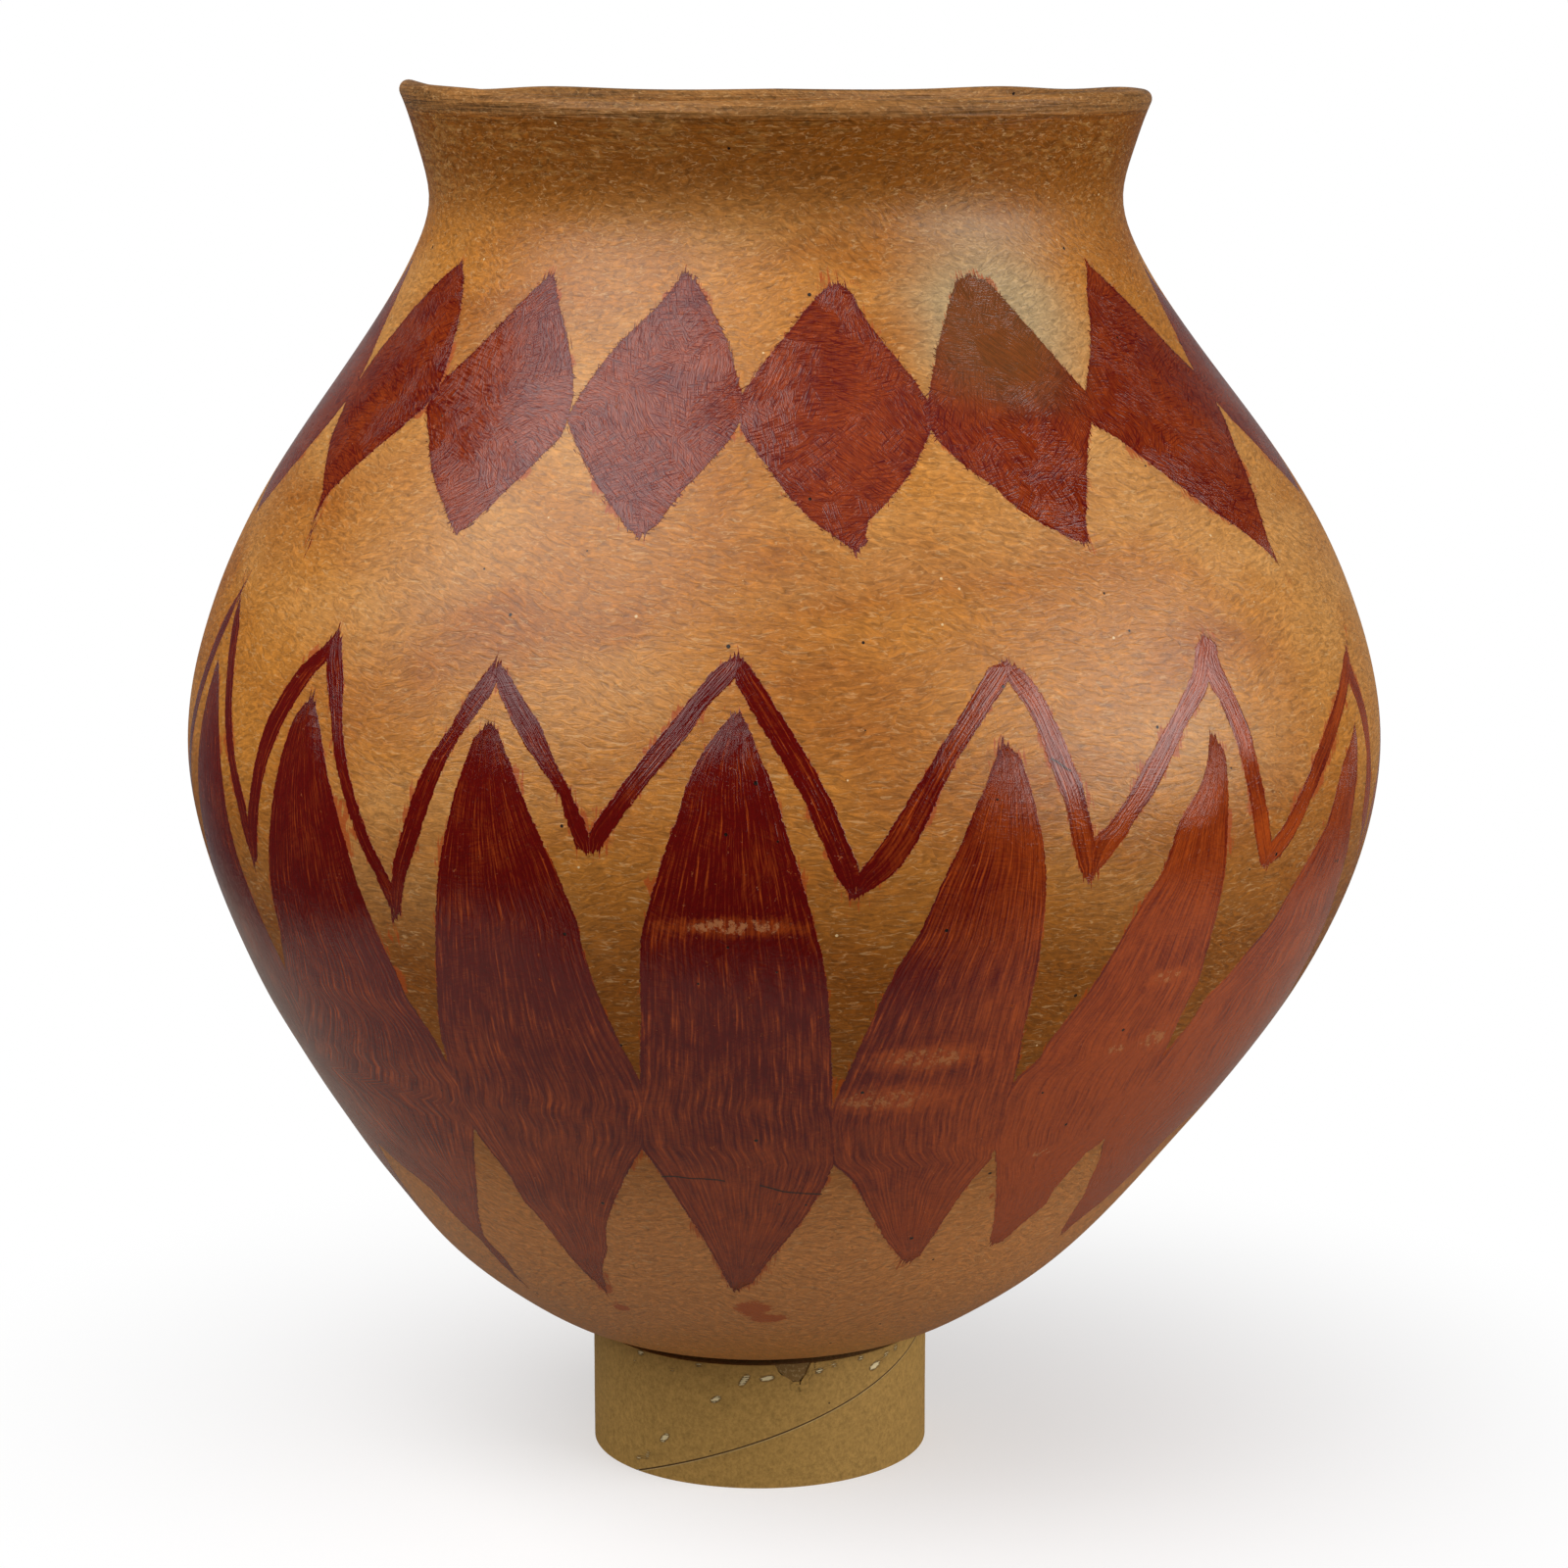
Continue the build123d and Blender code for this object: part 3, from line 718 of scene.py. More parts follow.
leaves_seen = [
    ([(541, 1316), (490, 1264), (469, 1245), (437, 1210), (410, 1189), (380, 1160), (300, 1060), (295, 1001),
      (291, 980), (286, 950), (278, 915), (274, 875), (275, 848), (278, 816), (286, 773), (299, 733),
      (319, 708)],
     [(541, 1316), (517, 1285), (495, 1262), (489, 1240), (487, 1215), (484, 1180), (484, 1145), (475, 1110),
      (459, 1089), (445, 1063), (431, 1042), (415, 1018), (402, 988), (389, 961), (380, 940), (363, 896),
      (353, 859), (342, 821), (333, 784), (327, 746), (322, 722), (319, 708)]),
    ([(620, 1319), (611, 1312), (592, 1294), (573, 1272), (555, 1248), (533, 1224), (520, 1200), (501, 1176),
      (484, 1153), (462, 1120), (458, 1089), (450, 1058), (446, 1028), (445, 988), (444, 950), (445, 917),
      (448, 883), (454, 851), (462, 816), (473, 781), (484, 751), (499, 736)],
     [(620, 1319), (614, 1294), (620, 1275), (618, 1250), (629, 1221), (636, 1205), (646, 1186), (656, 1172),
      (662, 1130), (654, 1104), (645, 1087), (632, 1063), (619, 1036), (608, 1010), (595, 969), (589, 940),
      (575, 907), (564, 880), (551, 853), (535, 816), (521, 778), (508, 746), (499, 736)]),
    ([(749, 1318), (745, 1314), (720, 1268), (694, 1229), (672, 1195), (654, 1171), (648, 1130), (653, 1103),
      (654, 1036), (653, 1000), (653, 961), (659, 933), (670, 895), (682, 857), (693, 829), (699, 803),
      (716, 768), (736, 742), (748, 726)],
     [(749, 1318), (768, 1309), (790, 1281), (819, 1246), (841, 1211), (851, 1188), (852, 1150), (849, 1128),
      (847, 1045), (844, 1004), (838, 969), (828, 931), (815, 887), (805, 857), (797, 829), (787, 796),
      (774, 768), (761, 734), (748, 726)]),
    ([(924, 1289), (920, 1286), (901, 1262), (885, 1233), (870, 1205), (849, 1187), (845, 1150), (850, 1128),
      (863, 1099), (882, 1058), (901, 1016), (917, 985), (938, 954), (960, 903), (980, 863), (995, 825),
      (1007, 799), (1014, 778), (1023, 756)],
     [(924, 1289), (937, 1283), (959, 1249), (984, 1214), (1012, 1181), (1017, 1165), (1027, 1125),
      (1036, 1097), (1045, 1050), (1053, 1016), (1061, 978), (1063, 957), (1067, 928), (1068, 899),
      (1066, 866), (1061, 840), (1055, 814), (1048, 790), (1039, 768), (1023, 756)]),
    ([(1009, 1272), (1010, 1262), (1015, 1227), (1016, 1185), (1014, 1165), (1025, 1122), (1036, 1100),
      (1058, 1083), (1071, 1062), (1091, 1037), (1112, 1011), (1133, 978), (1148, 951), (1165, 922),
      (1183, 896), (1195, 866), (1203, 840), (1215, 819), (1225, 802), (1231, 784), (1236, 747)],
     [(1009, 1272), (1020, 1269), (1045, 1246), (1066, 1230), (1074, 1215), (1091, 1195), (1109, 1175),
      (1128, 1163), (1160, 1120), (1184, 1083), (1196, 1058), (1204, 1039), (1214, 1019), (1224, 999),
      (1232, 970), (1238, 948), (1243, 928), (1249, 899), (1252, 872), (1253, 843), (1254, 814), (1253, 784),
      (1249, 764), (1236, 747)]),
]
right_leaf_seen = (
    [(1081, 1262), (1082, 1258), (1094, 1238), (1104, 1223), (1112, 1203), (1122, 1182), (1126, 1163),
     (1150, 1125), (1186, 1080), (1199, 1062), (1216, 1042), (1229, 1019), (1250, 999), (1275, 968),
     (1297, 943), (1312, 916), (1327, 890), (1341, 866), (1353, 843), (1362, 811), (1368, 784), (1377, 758),
     (1382, 736)],
    [(1081, 1262), (1096, 1249), (1112, 1236), (1125, 1226), (1153, 1200), (1193, 1159), (1356, 931),
     (1366, 899), (1374, 869), (1378, 837), (1382, 808), (1385, 778), (1384, 752), (1382, 736)])
right_leaf_hidden = [(67.0, 111), (71.5, 118), (73.5, 126), (72.5, 134), (70.4, 142), (69.0, 150),
                     (68.4, 159)]
# The leaf beside it is broader and leans over to it: (left side, right side, height of the tip, shift).
leaning_leaf = (76.9, 101.7, 236, -4.0)
left_leaf_sides = (
    [(-68, 74), (-73, 92), (-78.5, 108), (-81, 122), (-81, 138), (-79.2, 152), (-76.8, 167), (-74.5, 180),
     (-72.8, 193), (-71.6, 206), (-70.8, 218), (-70.2, 228), (-69.3, 237)],
    [(-68, 74), (-64.5, 88), (-60.5, 104), (-57, 120), (-57, 148), (-58.6, 160), (-59.8, 170), (-60.9, 180),
     (-61.8, 190), (-62.9, 206), (-64.2, 216), (-65.6, 224), (-67.2, 231), (-69.3, 237)])
leaf_hidden_tips = [(112, 233), (133.8, 238), (156.6, 235), (178.6, 231), (201.3, 237), (223.3, 234),
                    (246, 238), (268.4, 235)]
leaf_foot_height, leaf_pitch = 76, 22.4

# Shares of the half width outwards from the middle, and of the height up from the foot.
diamond_side_shares = [(0, 0), (0.36, 0.12), (0.62, 0.24), (0.88, 0.37), (1.04, 0.5), (0.90, 0.60),
                       (0.62, 0.72), (0.32, 0.86), (0, 1)]
leaf_side_shares = [(0, 0), (0.36, 0.08), (0.72, 0.17), (1.02, 0.26), (1.03, 0.415), (0.88, 0.50),
                    (0.71, 0.60), (0.53, 0.72), (0.35, 0.84), (0.18, 0.94), (0, 1)]


def hidden_motif(left, right, foot, top, side_shares, shift=0.0):
    """The two edges of a motif that the photograph doesn't show, from its width in degrees, its heights in
    millimetres and the shares of its side. The foot is shifted sideways by so many degrees."""
    share_out, share_up = np.array(side_shares).T
    middle = (left + right) / 2 + shift * (1 - share_up)
    half_width = (right - left) / 2
    height = foot + share_up * (top - foot)
    sides = [np.stack([middle + way * half_width * share_out, height], axis=-1) for way in (-1, 1)]
    return tuple(side * [math.pi / 180, mm] for side in sides)


def hidden_stroke(low, high):
    """The two edges of one stroke of the line between two of its turns, as wide as the brush."""
    (low_place, low_height), (high_place, high_height) = low, high
    share_up = np.array([-0.05, 0.12, 0.5, 0.88, 1.03])
    half = np.array([0, 1, 1, 1, 0]) * line_width / 2
    around = (high_place - low_place) * math.pi / 180 * belly_radius / mm
    slant = math.hypot(1, around / (high_height - low_height))
    middle = low_place + share_up * (high_place - low_place)
    height = low_height + share_up * (high_height - low_height)
    spread = half * slant / (belly_radius / mm) * 180 / math.pi
    return tuple(np.stack([middle + way * spread, height], axis=-1) * [math.pi / 180, mm] for way in (-1, 1))


rng = np.random.default_rng(31)
diamonds = [(edge(left), edge(right)) for left, right in diamonds_seen]
for left, right in zip(diamond_hidden_sides, diamond_hidden_sides[1:]):
    foot, top = diamond_heights["foot"] + rng.uniform(-3, 3), diamond_heights["top"] + rng.uniform(-2, 2)
    diamonds.append(hidden_motif(left, right, foot, top, diamond_side_shares, shift=rng.uniform(-1, 2)))
rising = [(edge(left), edge(right)) for left, right in rising_seen]
rising += [hidden_stroke(*pair) for pair in zip(line_hidden_turns[0::2], line_hidden_turns[1::2])]
falling = [(edge(left), edge(right)) for left, right in falling_seen]
falling += [hidden_stroke(low, high) for high, low in zip(line_hidden_turns[1::2], line_hidden_turns[2::2])]
leaves = [(edge(left), edge(right)) for left, right in leaves_seen]
leaves.append((edge(right_leaf_seen[0]), edge(right_leaf_seen[1], right_leaf_hidden)))
left, right, top, shift = leaning_leaf
leaves.append(hidden_motif(left, right, leaf_foot_height, top, leaf_side_shares, shift))
for place, height in leaf_hidden_tips:
    left, right = place - leaf_pitch / 2, place + leaf_pitch / 2
    foot = leaf_foot_height + rng.uniform(-5, 5)
    leaves.append(hidden_motif(left, right, foot, height, leaf_side_shares, shift=rng.uniform(-2, 1)))
leaves.append(tuple(np.array(side) * [math.pi / 180, mm] for side in left_leaf_sides))

# The wall's outside as a chart: one line for each row of points, one column for each azimuth.
chart_rows = len(outer_rows)
chart_radius, chart_height = profile[:chart_rows].T
inside_paint = 8 * mm  # farther inside a motif than this, the distances hold
outside_paint = -30 * mm
edge_overrun = 20 * mm
thinnest = 0.1 * mm


def across_rows(points):
    """Azimuth of an edge at each row of the chart. Beyond its ends the edge runs on in line a little."""
    low, high = points[0], points[-1]
    before = low - (points[1] - low) / max(points[1][1] - low[1], thinnest) * edge_overrun
    after = high + (high - points[-2]) / max(high[1] - points[-2][1], thinnest) * edge_overrun
    place, height = np.vstack([before, points, after]).T
    return np.interp(chart_height, height, place)


def wrapped(angle):
    """The same angle between minus and plus half a turn."""
    return (angle + math.pi) % (2 * math.pi) - math.pi


def brushed(motifs, usual_width):
    """For each point of the chart: how far it lies inside the left edge and inside the right edge of the
    motif nearest to it, in metres and square to the edge, and where the brush was across that motif. The
    last is twice the motif's number, plus the share of the way from its left to its right edge, plus 0.4
    so that it stays above zero, times the motif's usual width in millimetres."""
    edges = np.array([[across_rows(side) for side in motif] for motif in motifs])
    centres = edges.mean(axis=1)
    off_centre = np.abs(wrapped(azimuths[None, None, :] - centres[:, :, None]))
    nearest = off_centre.argmin(axis=0)
    slope = np.gradient(edges, outer_rows, axis=2) * chart_radius
    squared = chart_radius / np.sqrt(1 + slope ** 2)
    here = np.arange(chart_rows)[:, None]
    left = wrapped(azimuths - edges[nearest, 0, here]) * squared[nearest, 0, here]
    right = wrapped(edges[nearest, 1, here] - azimuths) * squared[nearest, 1, here]
    width = np.where(np.abs(left + right) < thinnest, thinnest, left + right)
    brush = (2 * nearest + 0.4 + np.clip(left / width, -0.3, 1.3)) * usual_width
    held = [np.clip(side, outside_paint, inside_paint) for side in (left, right)]
    return np.stack([*held, brush], axis=-1)


def over_pot(chart, elsewhere):
    """Values for every point of the pot: the chart's on the outside, and the same value elsewhere."""
    rest = np.full(((rows - chart_rows) * pot_columns + 2, chart.shape[-1]), elsewhere, float)
    return np.vstack([chart.reshape(-1, chart.shape[-1]), rest])


motif_width = 32.0  # millimetres, about, of a diamond or a leaf
motif_families = {"diamonds_odd": diamonds[0::2], "diamonds_even": diamonds[1::2], "leaves_odd": leaves[0::2],
                  "leaves_even": leaves[1::2], "strokes_rising": rising, "strokes_falling": falling}
for name, motifs in motif_families.items():
    usual_width = line_width if name.startswith("strokes") else motif_width
    chart = brushed(motifs, usual_width)
    keep_on_points(pot, name, "FLOAT_VECTOR", over_pot(chart, (outside_paint, outside_paint, 0)))

# The wall unrolled to a flat sheet in metres, so that marks can run along it: how far round, on a circle of
# one size, and how far up. The sheet is cut at the back, where a stroke more or less doesn't show.
unrolled_radius = 0.13
column_step = 2 * math.pi / pot_columns


def sheet_corners(azimuth_steps, lengths):
    """Places on the sheet for the corners of one row of faces: steps round from each column, and lengths."""
    round_sheet = (azimuths[:, None] + column_step * np.array(azimuth_steps)) * unrolled_radius
    return np.stack([round_sheet, np.broadcast_to(lengths, round_sheet.shape)], axis=-1).reshape(-1, 2)


# Lengths up the sheet run on over the lip and down the inside, so that no mark is drawn out there.
sheet_length = np.r_[outer_rows, lip_length + half_lip * turn.ravel(),
                     2 * lip_length + half_lip * math.pi - inner_rows]
rings_below, rings_above = sheet_length[:-1], sheet_length[1:]
quads = [sheet_corners((0, 1, 1, 0), (low, low, high, high)) for low, high in zip(rings_below, rings_above)]
base_corners = sheet_corners((0.5, 1, 0), (0, sheet_length[0], sheet_length[0]))
floor_corners = sheet_corners((0, 1, 0.5), (*sheet_length[[-1, -1]], sheet_length[-1] + inner_rows[-1]))
unrolled = pot.data.uv_layers.new(name="unrolled")
unrolled.uv.foreach_set("vector", np.vstack([*quads, base_corners, floor_corners]).ravel())

# Low-fired earthenware, tan to orange where the fire reached it: stone-burnished, so satin, with the
# stone's short level strokes in it, dark grit and pale temper; over it thin red iron slip, burnished
# to a shine, streaked along the brush and thin at its edges, where the clay shows through.
clay_tan = "#B27022"
clay_gold = "#98540C"
clay_buff = "#C48E4E"
clay_pale = "#D9AE78"
clay_foot = "#BE7A3E"
shaded_clay_amber = "#7C4206"
neck_clay_and_shade = "#784002"
clay_scuffed = "#9A6C34"
lip_clay_and_highlight = "#8E6234"
clay_smoke = "#A4906A"
grit_dark = "#1E1008"
temper_pale = "#D9B888"
slip_deep = "#5C0502"
slip_thin = "#A04210"
slip_smeared = "#A44204"
slip_smoked = "#6E5028"
level_rubs = {"length": 3.6, "width": 1.1, "spread": 0.9, "detail": 3.0, "bend": 0.7}  # millimetres, radians
crossing_rubs = {"length": 6.0, "width": 0.5, "spread": 2.9, "detail": 2.0, "bend": 0.2}
patch_size = 24.0  # millimetres, the patch that is rubbed in one direction before the hand shifts
level_chance = 0.42  # of 0 to 1: the chance at which a patch is rubbed level, and others turn either way
drift_size = 16.7  # millimetres, over which the hand wavers
wander_reach, drift_reach = (16 * mm, 16 * mm, 16 * mm), (4 * mm, 4 * mm, 0)  # and how far it wavers
# Sizes in millimetres along the wall and up it.
glint_size, wipe_size, hair_size = (3.0, 0.8), (9.0, 1.3), (0.55, 7.0)
cloud_size, blush_size = (58.8, 58.8, 25.0), (111, 111, 55.6)  # millimetres along each axis
load_size = 16.7  # millimetres, over which the brush is loaded or spent
bristle, bristle_track = 0.6, 14.0  # millimetres, wider than a real bristle's track so that it shows
ridge_pitch, ridge_length = 1.4, 45.0  # millimetres
ragged_size = 2.38  # millimetres, a notch in the edge of the slip
grain_size = 1.25  # millimetres, coarser than the clay's own grain so that it shows
grit_spacing, temper_spacing = 6.67, 5.26  # millimetres
# Heights in metres between which one kind of clay or slip turns to another.
shoulder_heights, neck_heights = (0.25, 0.28), (0.335, 0.370)
under_belly_shade_heights, foot_heights, feet_heights = (0.215, 0.172), (0.145, 0.085), (0.17, 0.09)
lip_highlight_heights = (lip_height - 5.0 * mm, lip_height - 3.5 * mm)
ridged_heights = (lip_height - 9 * mm, lip_height - 4 * mm)
right_leaves = (0.005, 0.085)  # metres to the right, where the slip turns to the thinner mix
smoke_reach = (0.052, 0.022)  # metres from its middle
smoke_wander = 0.03  # metres by which the clouds shift its rim
# Across the edge of the slip, in metres: its rim, its outline, a motif's tip and the reach of a stain.
rim_span, outline_span, tip_span = (-0.10 * mm, 0.15 * mm), (1.3 * mm, 0.3 * mm), (4.5 * mm, 0.5 * mm)
stain_reach, stain_span = (0.5 * mm, -2.4 * mm), (-0.2 * mm, 0.4 * mm)
raggedness, hairiness, tuft = (-0.6 * mm, 0.6 * mm), (-1.0 * mm, 1.0 * mm), 1.1 * mm
crack_span, crack_wander = (0.35 * mm, 0.15 * mm), 4 * mm
# Depths of relief: of the rubs in clay and in slip, of grains, ridges, the coat of slip and pits.
mark_depths, grain_depth, ridge_depth = (0.16 * mm, 0.24 * mm), 0.03 * mm, 0.9 * mm
coat_depth, pit_depth = 0.03 * mm, 0.12 * mm
gloss = (0.35, 0.06)  # roughness of burnished clay and of burnished slip
shine_levels = (0.5, 0.15)  # specular level where the stone has been and where it hasn't
smoke_place = (1010, 325)  # pixels of the photograph, as are the three lists below
# Where the slip has worn thin, with half the width and half the height of the place in millimetres.
worn_places = [((942, 1080), 18, 4.4), ((902, 1122), 17, 4.4), ((752, 946), 20, 3.0), ((1178, 1060), 7, 4.5),
               ((1140, 1070), 4, 3.0), ((1192, 996), 8, 2.4), ((1062, 1176), 5, 2.0)]
# Where a loaded brush has dripped or smeared below the leaves, in the same way.
smears = [((768, 1336), 4.5, 4.0), ((783, 1345), 5.0, 2.0), ((617, 1314), 2.2, 3.0), ((634, 1334), 2.6, 1.4)]
# Hairline cracks in the slip, each from one end to the other.
hairlines = [((676, 1202), (739, 1207)), ((776, 1211), (838, 1218)), ((1073, 776), (1092, 787))]


def on_wall(pixels):
    """Points of the wall that pixels of the photograph show, as (x, y, z)."""
    azimuth, up = found_on_wall(pixels).T
    radius = np.interp(up, chart_height, chart_radius)
    return np.stack([lean(up) + radius * np.sin(azimuth), -radius * np.cos(azimuth), up], axis=-1)


clay, tree = finish_named("burnished_slip_painted_clay")
place = add(tree, "TexCoord").outputs["Object"]
sheet = add(tree, "UVMap", uv_map="unrolled").outputs["UV"]
height = add(tree, "SeparateXYZ", {0: place}).outputs["Z"]
shoulder = add(tree, "MapRange", {"Value": height, "From": shoulder_heights})
drift = add(tree, "TexNoise", {"Vector": place, "Scale": 1000 / drift_size, "Detail": 2.0}).outputs["Color"]
wandering = add(tree, "VectorMath", {0: drift, 1: wander_reach, 2: place}, operation="MULTIPLY_ADD")
drifted = add(tree, "VectorMath", {0: drift, 1: drift_reach, 2: sheet}, operation="MULTIPLY_ADD")


def streaks(on_sheet, level, upright, detail, roughness=0.5, bend=0.0, slant=0.0):
    """Noise on a flat sheet, drawn out so many millimetres one way and so many the other."""
    scale = (1000 / level, 1000 / upright, 0)
    laid = add(tree, "Mapping", {"Vector": on_sheet, "Rotation": (0, 0, slant), "Scale": scale})
    return add(tree, "TexNoise", {
        "Vector": laid, "Scale": 1.0, "Detail": detail, "Roughness": roughness, "Distortion": bend},
        noise_dimensions="2D")


def rubs(patch_span, seed_shift, length, width, spread, detail, bend):
    """Rubs of the stone: bent streaks on the unrolled wall, turned to another direction in each patch,
    within that spread."""
    shifted = add(tree, "VectorMath", {0: wandering, 1: (seed_shift, 0, 0)})
    patch = add(tree, "TexVoronoi", {"Vector": shifted, "Scale": 1000 / patch_span})
    chance = add(tree, "SeparateColor", {0: patch.outputs["Color"]})
    centred = add(tree, "Math", {0: chance, 1: -level_chance})
    angle = add(tree, "Math", {0: centred, 1: spread}, operation="MULTIPLY")
    turned_sheet = add(tree, "VectorRotate", {"Vector": drifted, "Angle": angle}, rotation_type="Z_AXIS")
    return streaks(turned_sheet, length, width, detail, 0.62, bend)


# On the bare clay the rubs are nearly level, and over the painted shoulder they cross each other.
strokes = rubs(patch_size, 0.0, **level_rubs)
under_rubs = rubs(patch_size * 0.7, 0.5, **crossing_rubs)
over_rubs = rubs(patch_size * 0.5, 1.3, **crossing_rubs)
crossings = add(tree, "Math", {0: under_rubs, 1: over_rubs}, operation="MAXIMUM")
ripple_glints = streaks(drifted, *glint_size, 3.0, 0.7, 0.9, slant=0.15)
grain = add(tree, "TexNoise", {"Vector": place, "Scale": 1000 / grain_size, "Detail": 3.0, "Roughness": 0.65})
cloud_place = add(tree, "Mapping", {"Vector": wandering, "Scale": 1000 / np.array(cloud_size)})
clouds = add(tree, "TexNoise", {"Vector": cloud_place, "Scale": 1.0, "Detail": 2.0, "Roughness": 0.5})
blush_place = add(tree, "Mapping", {
    "Vector": wandering, "Location": (3, 7, 1), "Scale": 1000 / np.array(blush_size)})
blush = add(tree, "TexNoise", {"Vector": blush_place, "Scale": 1.0, "Detail": 3.0, "Roughness": 0.5})

# Above the neck's waist the clay is dark and streaked level by the wet hand, with paler scuffs, and the lip
# itself is wiped pale. Part of the neck's darkness is painted shade under the lip's overhang, and part of
# the lip's paleness is a painted highlight along its top. The feet of the leaves end on paler clay, and
# smoke has clouded one place.
wipes = streaks(drifted, *wipe_size, 4.0, 0.65)
wiped_clouds = add(tree, "Math", {0: wipes, 1: 0.9, 2: clouds}, operation="MULTIPLY_ADD")
scuffed = add(tree, "MapRange", {"Value": wiped_clouds, "From": (0.93, 1.2), "To": (0, 0.9)})
collar_with_shade = add(tree, "Mix", {0: scuffed, 6: neck_clay_and_shade, 7: clay_scuffed}, data_type="RGBA")
gold_share = add(tree, "MapRange", {"Value": clouds, "From": (0.40, 0.66), "To": (0, 0.8)})
buff_share = add(tree, "MapRange", {"Value": blush, "From": (0.45, 0.68), "To": (0, 0.75)})
# Below the belly, where the wall turns down away from the light, the clay is painted darker amber: painted
# shade.
under_belly_shade_share = add(tree, "MapRange", {"Value": height, "From": under_belly_shade_heights, "To": (0, 0.9)})
# The neck's dark colour is partly painted shade under the lip.
neck_and_shade_share = add(tree, "MapRange", {
    "Value": height, "From": neck_heights, "To": (0, 0.9)}, interpolation_type="SMOOTHSTEP")
# The pale band along the top of the lip is partly a painted highlight.
lip_and_highlight_share = add(tree, "MapRange", {"Value": height, "From": lip_highlight_heights, "To": (0, 0.8)})
foot_share = add(tree, "MapRange", {"Value": height, "From": foot_heights}, interpolation_type="SMOOTHSTEP")
from_smoke = add(tree, "VectorMath", {0: place, 1: on_wall([smoke_place])[0]}, operation="DISTANCE")
wisp = add(tree, "Math", {0: clouds, 1: smoke_wander, 2: from_smoke}, operation="MULTIPLY_ADD")
smoke_share = add(tree, "MapRange", {
    "Value": wisp, "From": smoke_reach, "To": (0, 0.8)}, interpolation_type="SMOOTHSTEP")
ground = clay_tan
for share, colour in ((gold_share, clay_gold), (buff_share, clay_buff),
                      (under_belly_shade_share, shaded_clay_amber), (neck_and_shade_share, collar_with_shade), (lip_and_highlight_share, lip_clay_and_highlight),
                      (foot_share, clay_foot), (smoke_share, clay_smoke)):
    ground = add(tree, "Mix", {0: share, 6: ground, 7: colour}, data_type="RGBA")

# Each stroke of the stone is a shade lighter or darker, and so is each grain. The wet hand has left fine
# level ridges round the lip, and besides their relief their crests are painted lighter and their hollows
# darker, as painted highlight and painted shade.
rubbed = add(tree, "MapRange", {"Value": strokes, "From": (0.3, 0.7), "To": (0.70, 1.30)}, clamp=False)
grained = add(tree, "MapRange", {"Value": grain, "From": (0.3, 0.7), "To": (0.86, 1.14)})
shade = add(tree, "Math", {0: rubbed, 1: grained}, operation="MULTIPLY")
round_lip = add(tree, "SeparateXYZ", {0: drifted}).outputs["X"]
round_lip = add(tree, "Math", {0: round_lip, 1: 1000 / ridge_length}, operation="MULTIPLY")
ridge_up = add(tree, "Math", {0: height, 1: 1000 / ridge_pitch}, operation="MULTIPLY")
ridge_place = add(tree, "CombineXYZ", {0: round_lip, 1: ridge_up})
ridges = add(tree, "TexNoise", {
    "Vector": ridge_place, "Scale": 1.0, "Detail": 3.0, "Roughness": 0.6}, noise_dimensions="2D")
near_lip = add(tree, "MapRange", {"Value": height, "From": ridged_heights})
from_even = add(tree, "Math", {0: ridges, 1: 0.5}, operation="SUBTRACT")
ridged = add(tree, "Math", {0: from_even, 1: near_lip}, operation="MULTIPLY")
# The ridges' painted highlight and shade go into the colour here.
shade = add(tree, "Math", {0: ridged, 1: 1.7, 2: shade}, operation="MULTIPLY_ADD")
ground = add(tree, "VectorMath", {0: ground, "Scale": shade}, operation="SCALE")
# Thin pale lines on the bare clay are painted glints, where fine ripples left by the stone catch the light.
glint_share = add(tree, "MapRange", {"Value": ripple_glints, "From": (0.57, 0.70), "To": (0, 0.4)})
ground = add(tree, "Mix", {0: glint_share, 6: ground, 7: clay_pale}, data_type="RGBA")
gritty = specks(tree, place, grit_spacing, 0.55, 0.085)
tempered = specks(tree, place, temper_spacing, 0.7, 0.075, channel=1)

# The slip. Its edge wanders by a fraction of a millimetre, and where a motif narrows to a point the
# brush lifts off and leaves the tracks of single bristles.
ragged = add(tree, "TexNoise", {
    "Vector": place, "Scale": 1000 / ragged_size, "Detail": 4.0, "Roughness": 0.75})
rubbed_off = add(tree, "Math", {0: strokes, 1: 0.5, 2: ragged}, operation="MULTIPLY_ADD")
ragged_by = add(tree, "MapRange", {"Value": rubbed_off, "From": (0.35, 1.15), "To": raggedness}, clamp=False)
tufted_by = add(tree, "MapRange", {"Value": crossings, "From": (0.62, 0.74), "To": (0, tuft)})
tufted_by = add(tree, "Math", {0: tufted_by, 1: shoulder, 2: ragged_by}, operation="MULTIPLY_ADD")
hairs = streaks(drifted, *hair_size, 2.0)
hair_by = add(tree, "MapRange", {"Value": hairs, "From": (0.3, 0.7), "To": hairiness}, clamp=False)
cover, brush = None, None
for name in motif_families:
    kept = add(tree, "Attribute", attribute_name=name).outputs["Vector"]
    left, right, track = add(tree, "SeparateXYZ", {0: kept}).outputs
    within = add(tree, "Math", {0: left, 1: right}, operation="MINIMUM")
    width = add(tree, "Math", {0: left, 1: right}, operation="ADD")
    tip = add(tree, "MapRange", {"Value": width, "From": tip_span})
    frayed = add(tree, "Math", {0: tip, 1: hair_by, 2: within}, operation="MULTIPLY_ADD")
    if cover is None:
        cover, brush = frayed, track
        continue
    over = add(tree, "Math", {0: frayed, 1: cover}, operation="GREATER_THAN")
    cover = add(tree, "Math", {0: frayed, 1: cover}, operation="MAXIMUM")
    brush = add(tree, "Mix", {0: over, 2: brush, 3: track})
edged = add(tree, "Math", {0: cover, 1: tufted_by}, operation="ADD")
painted = add(tree, "MapRange", {"Value": edged, "From": rim_span}, interpolation_type="SMOOTHSTEP")

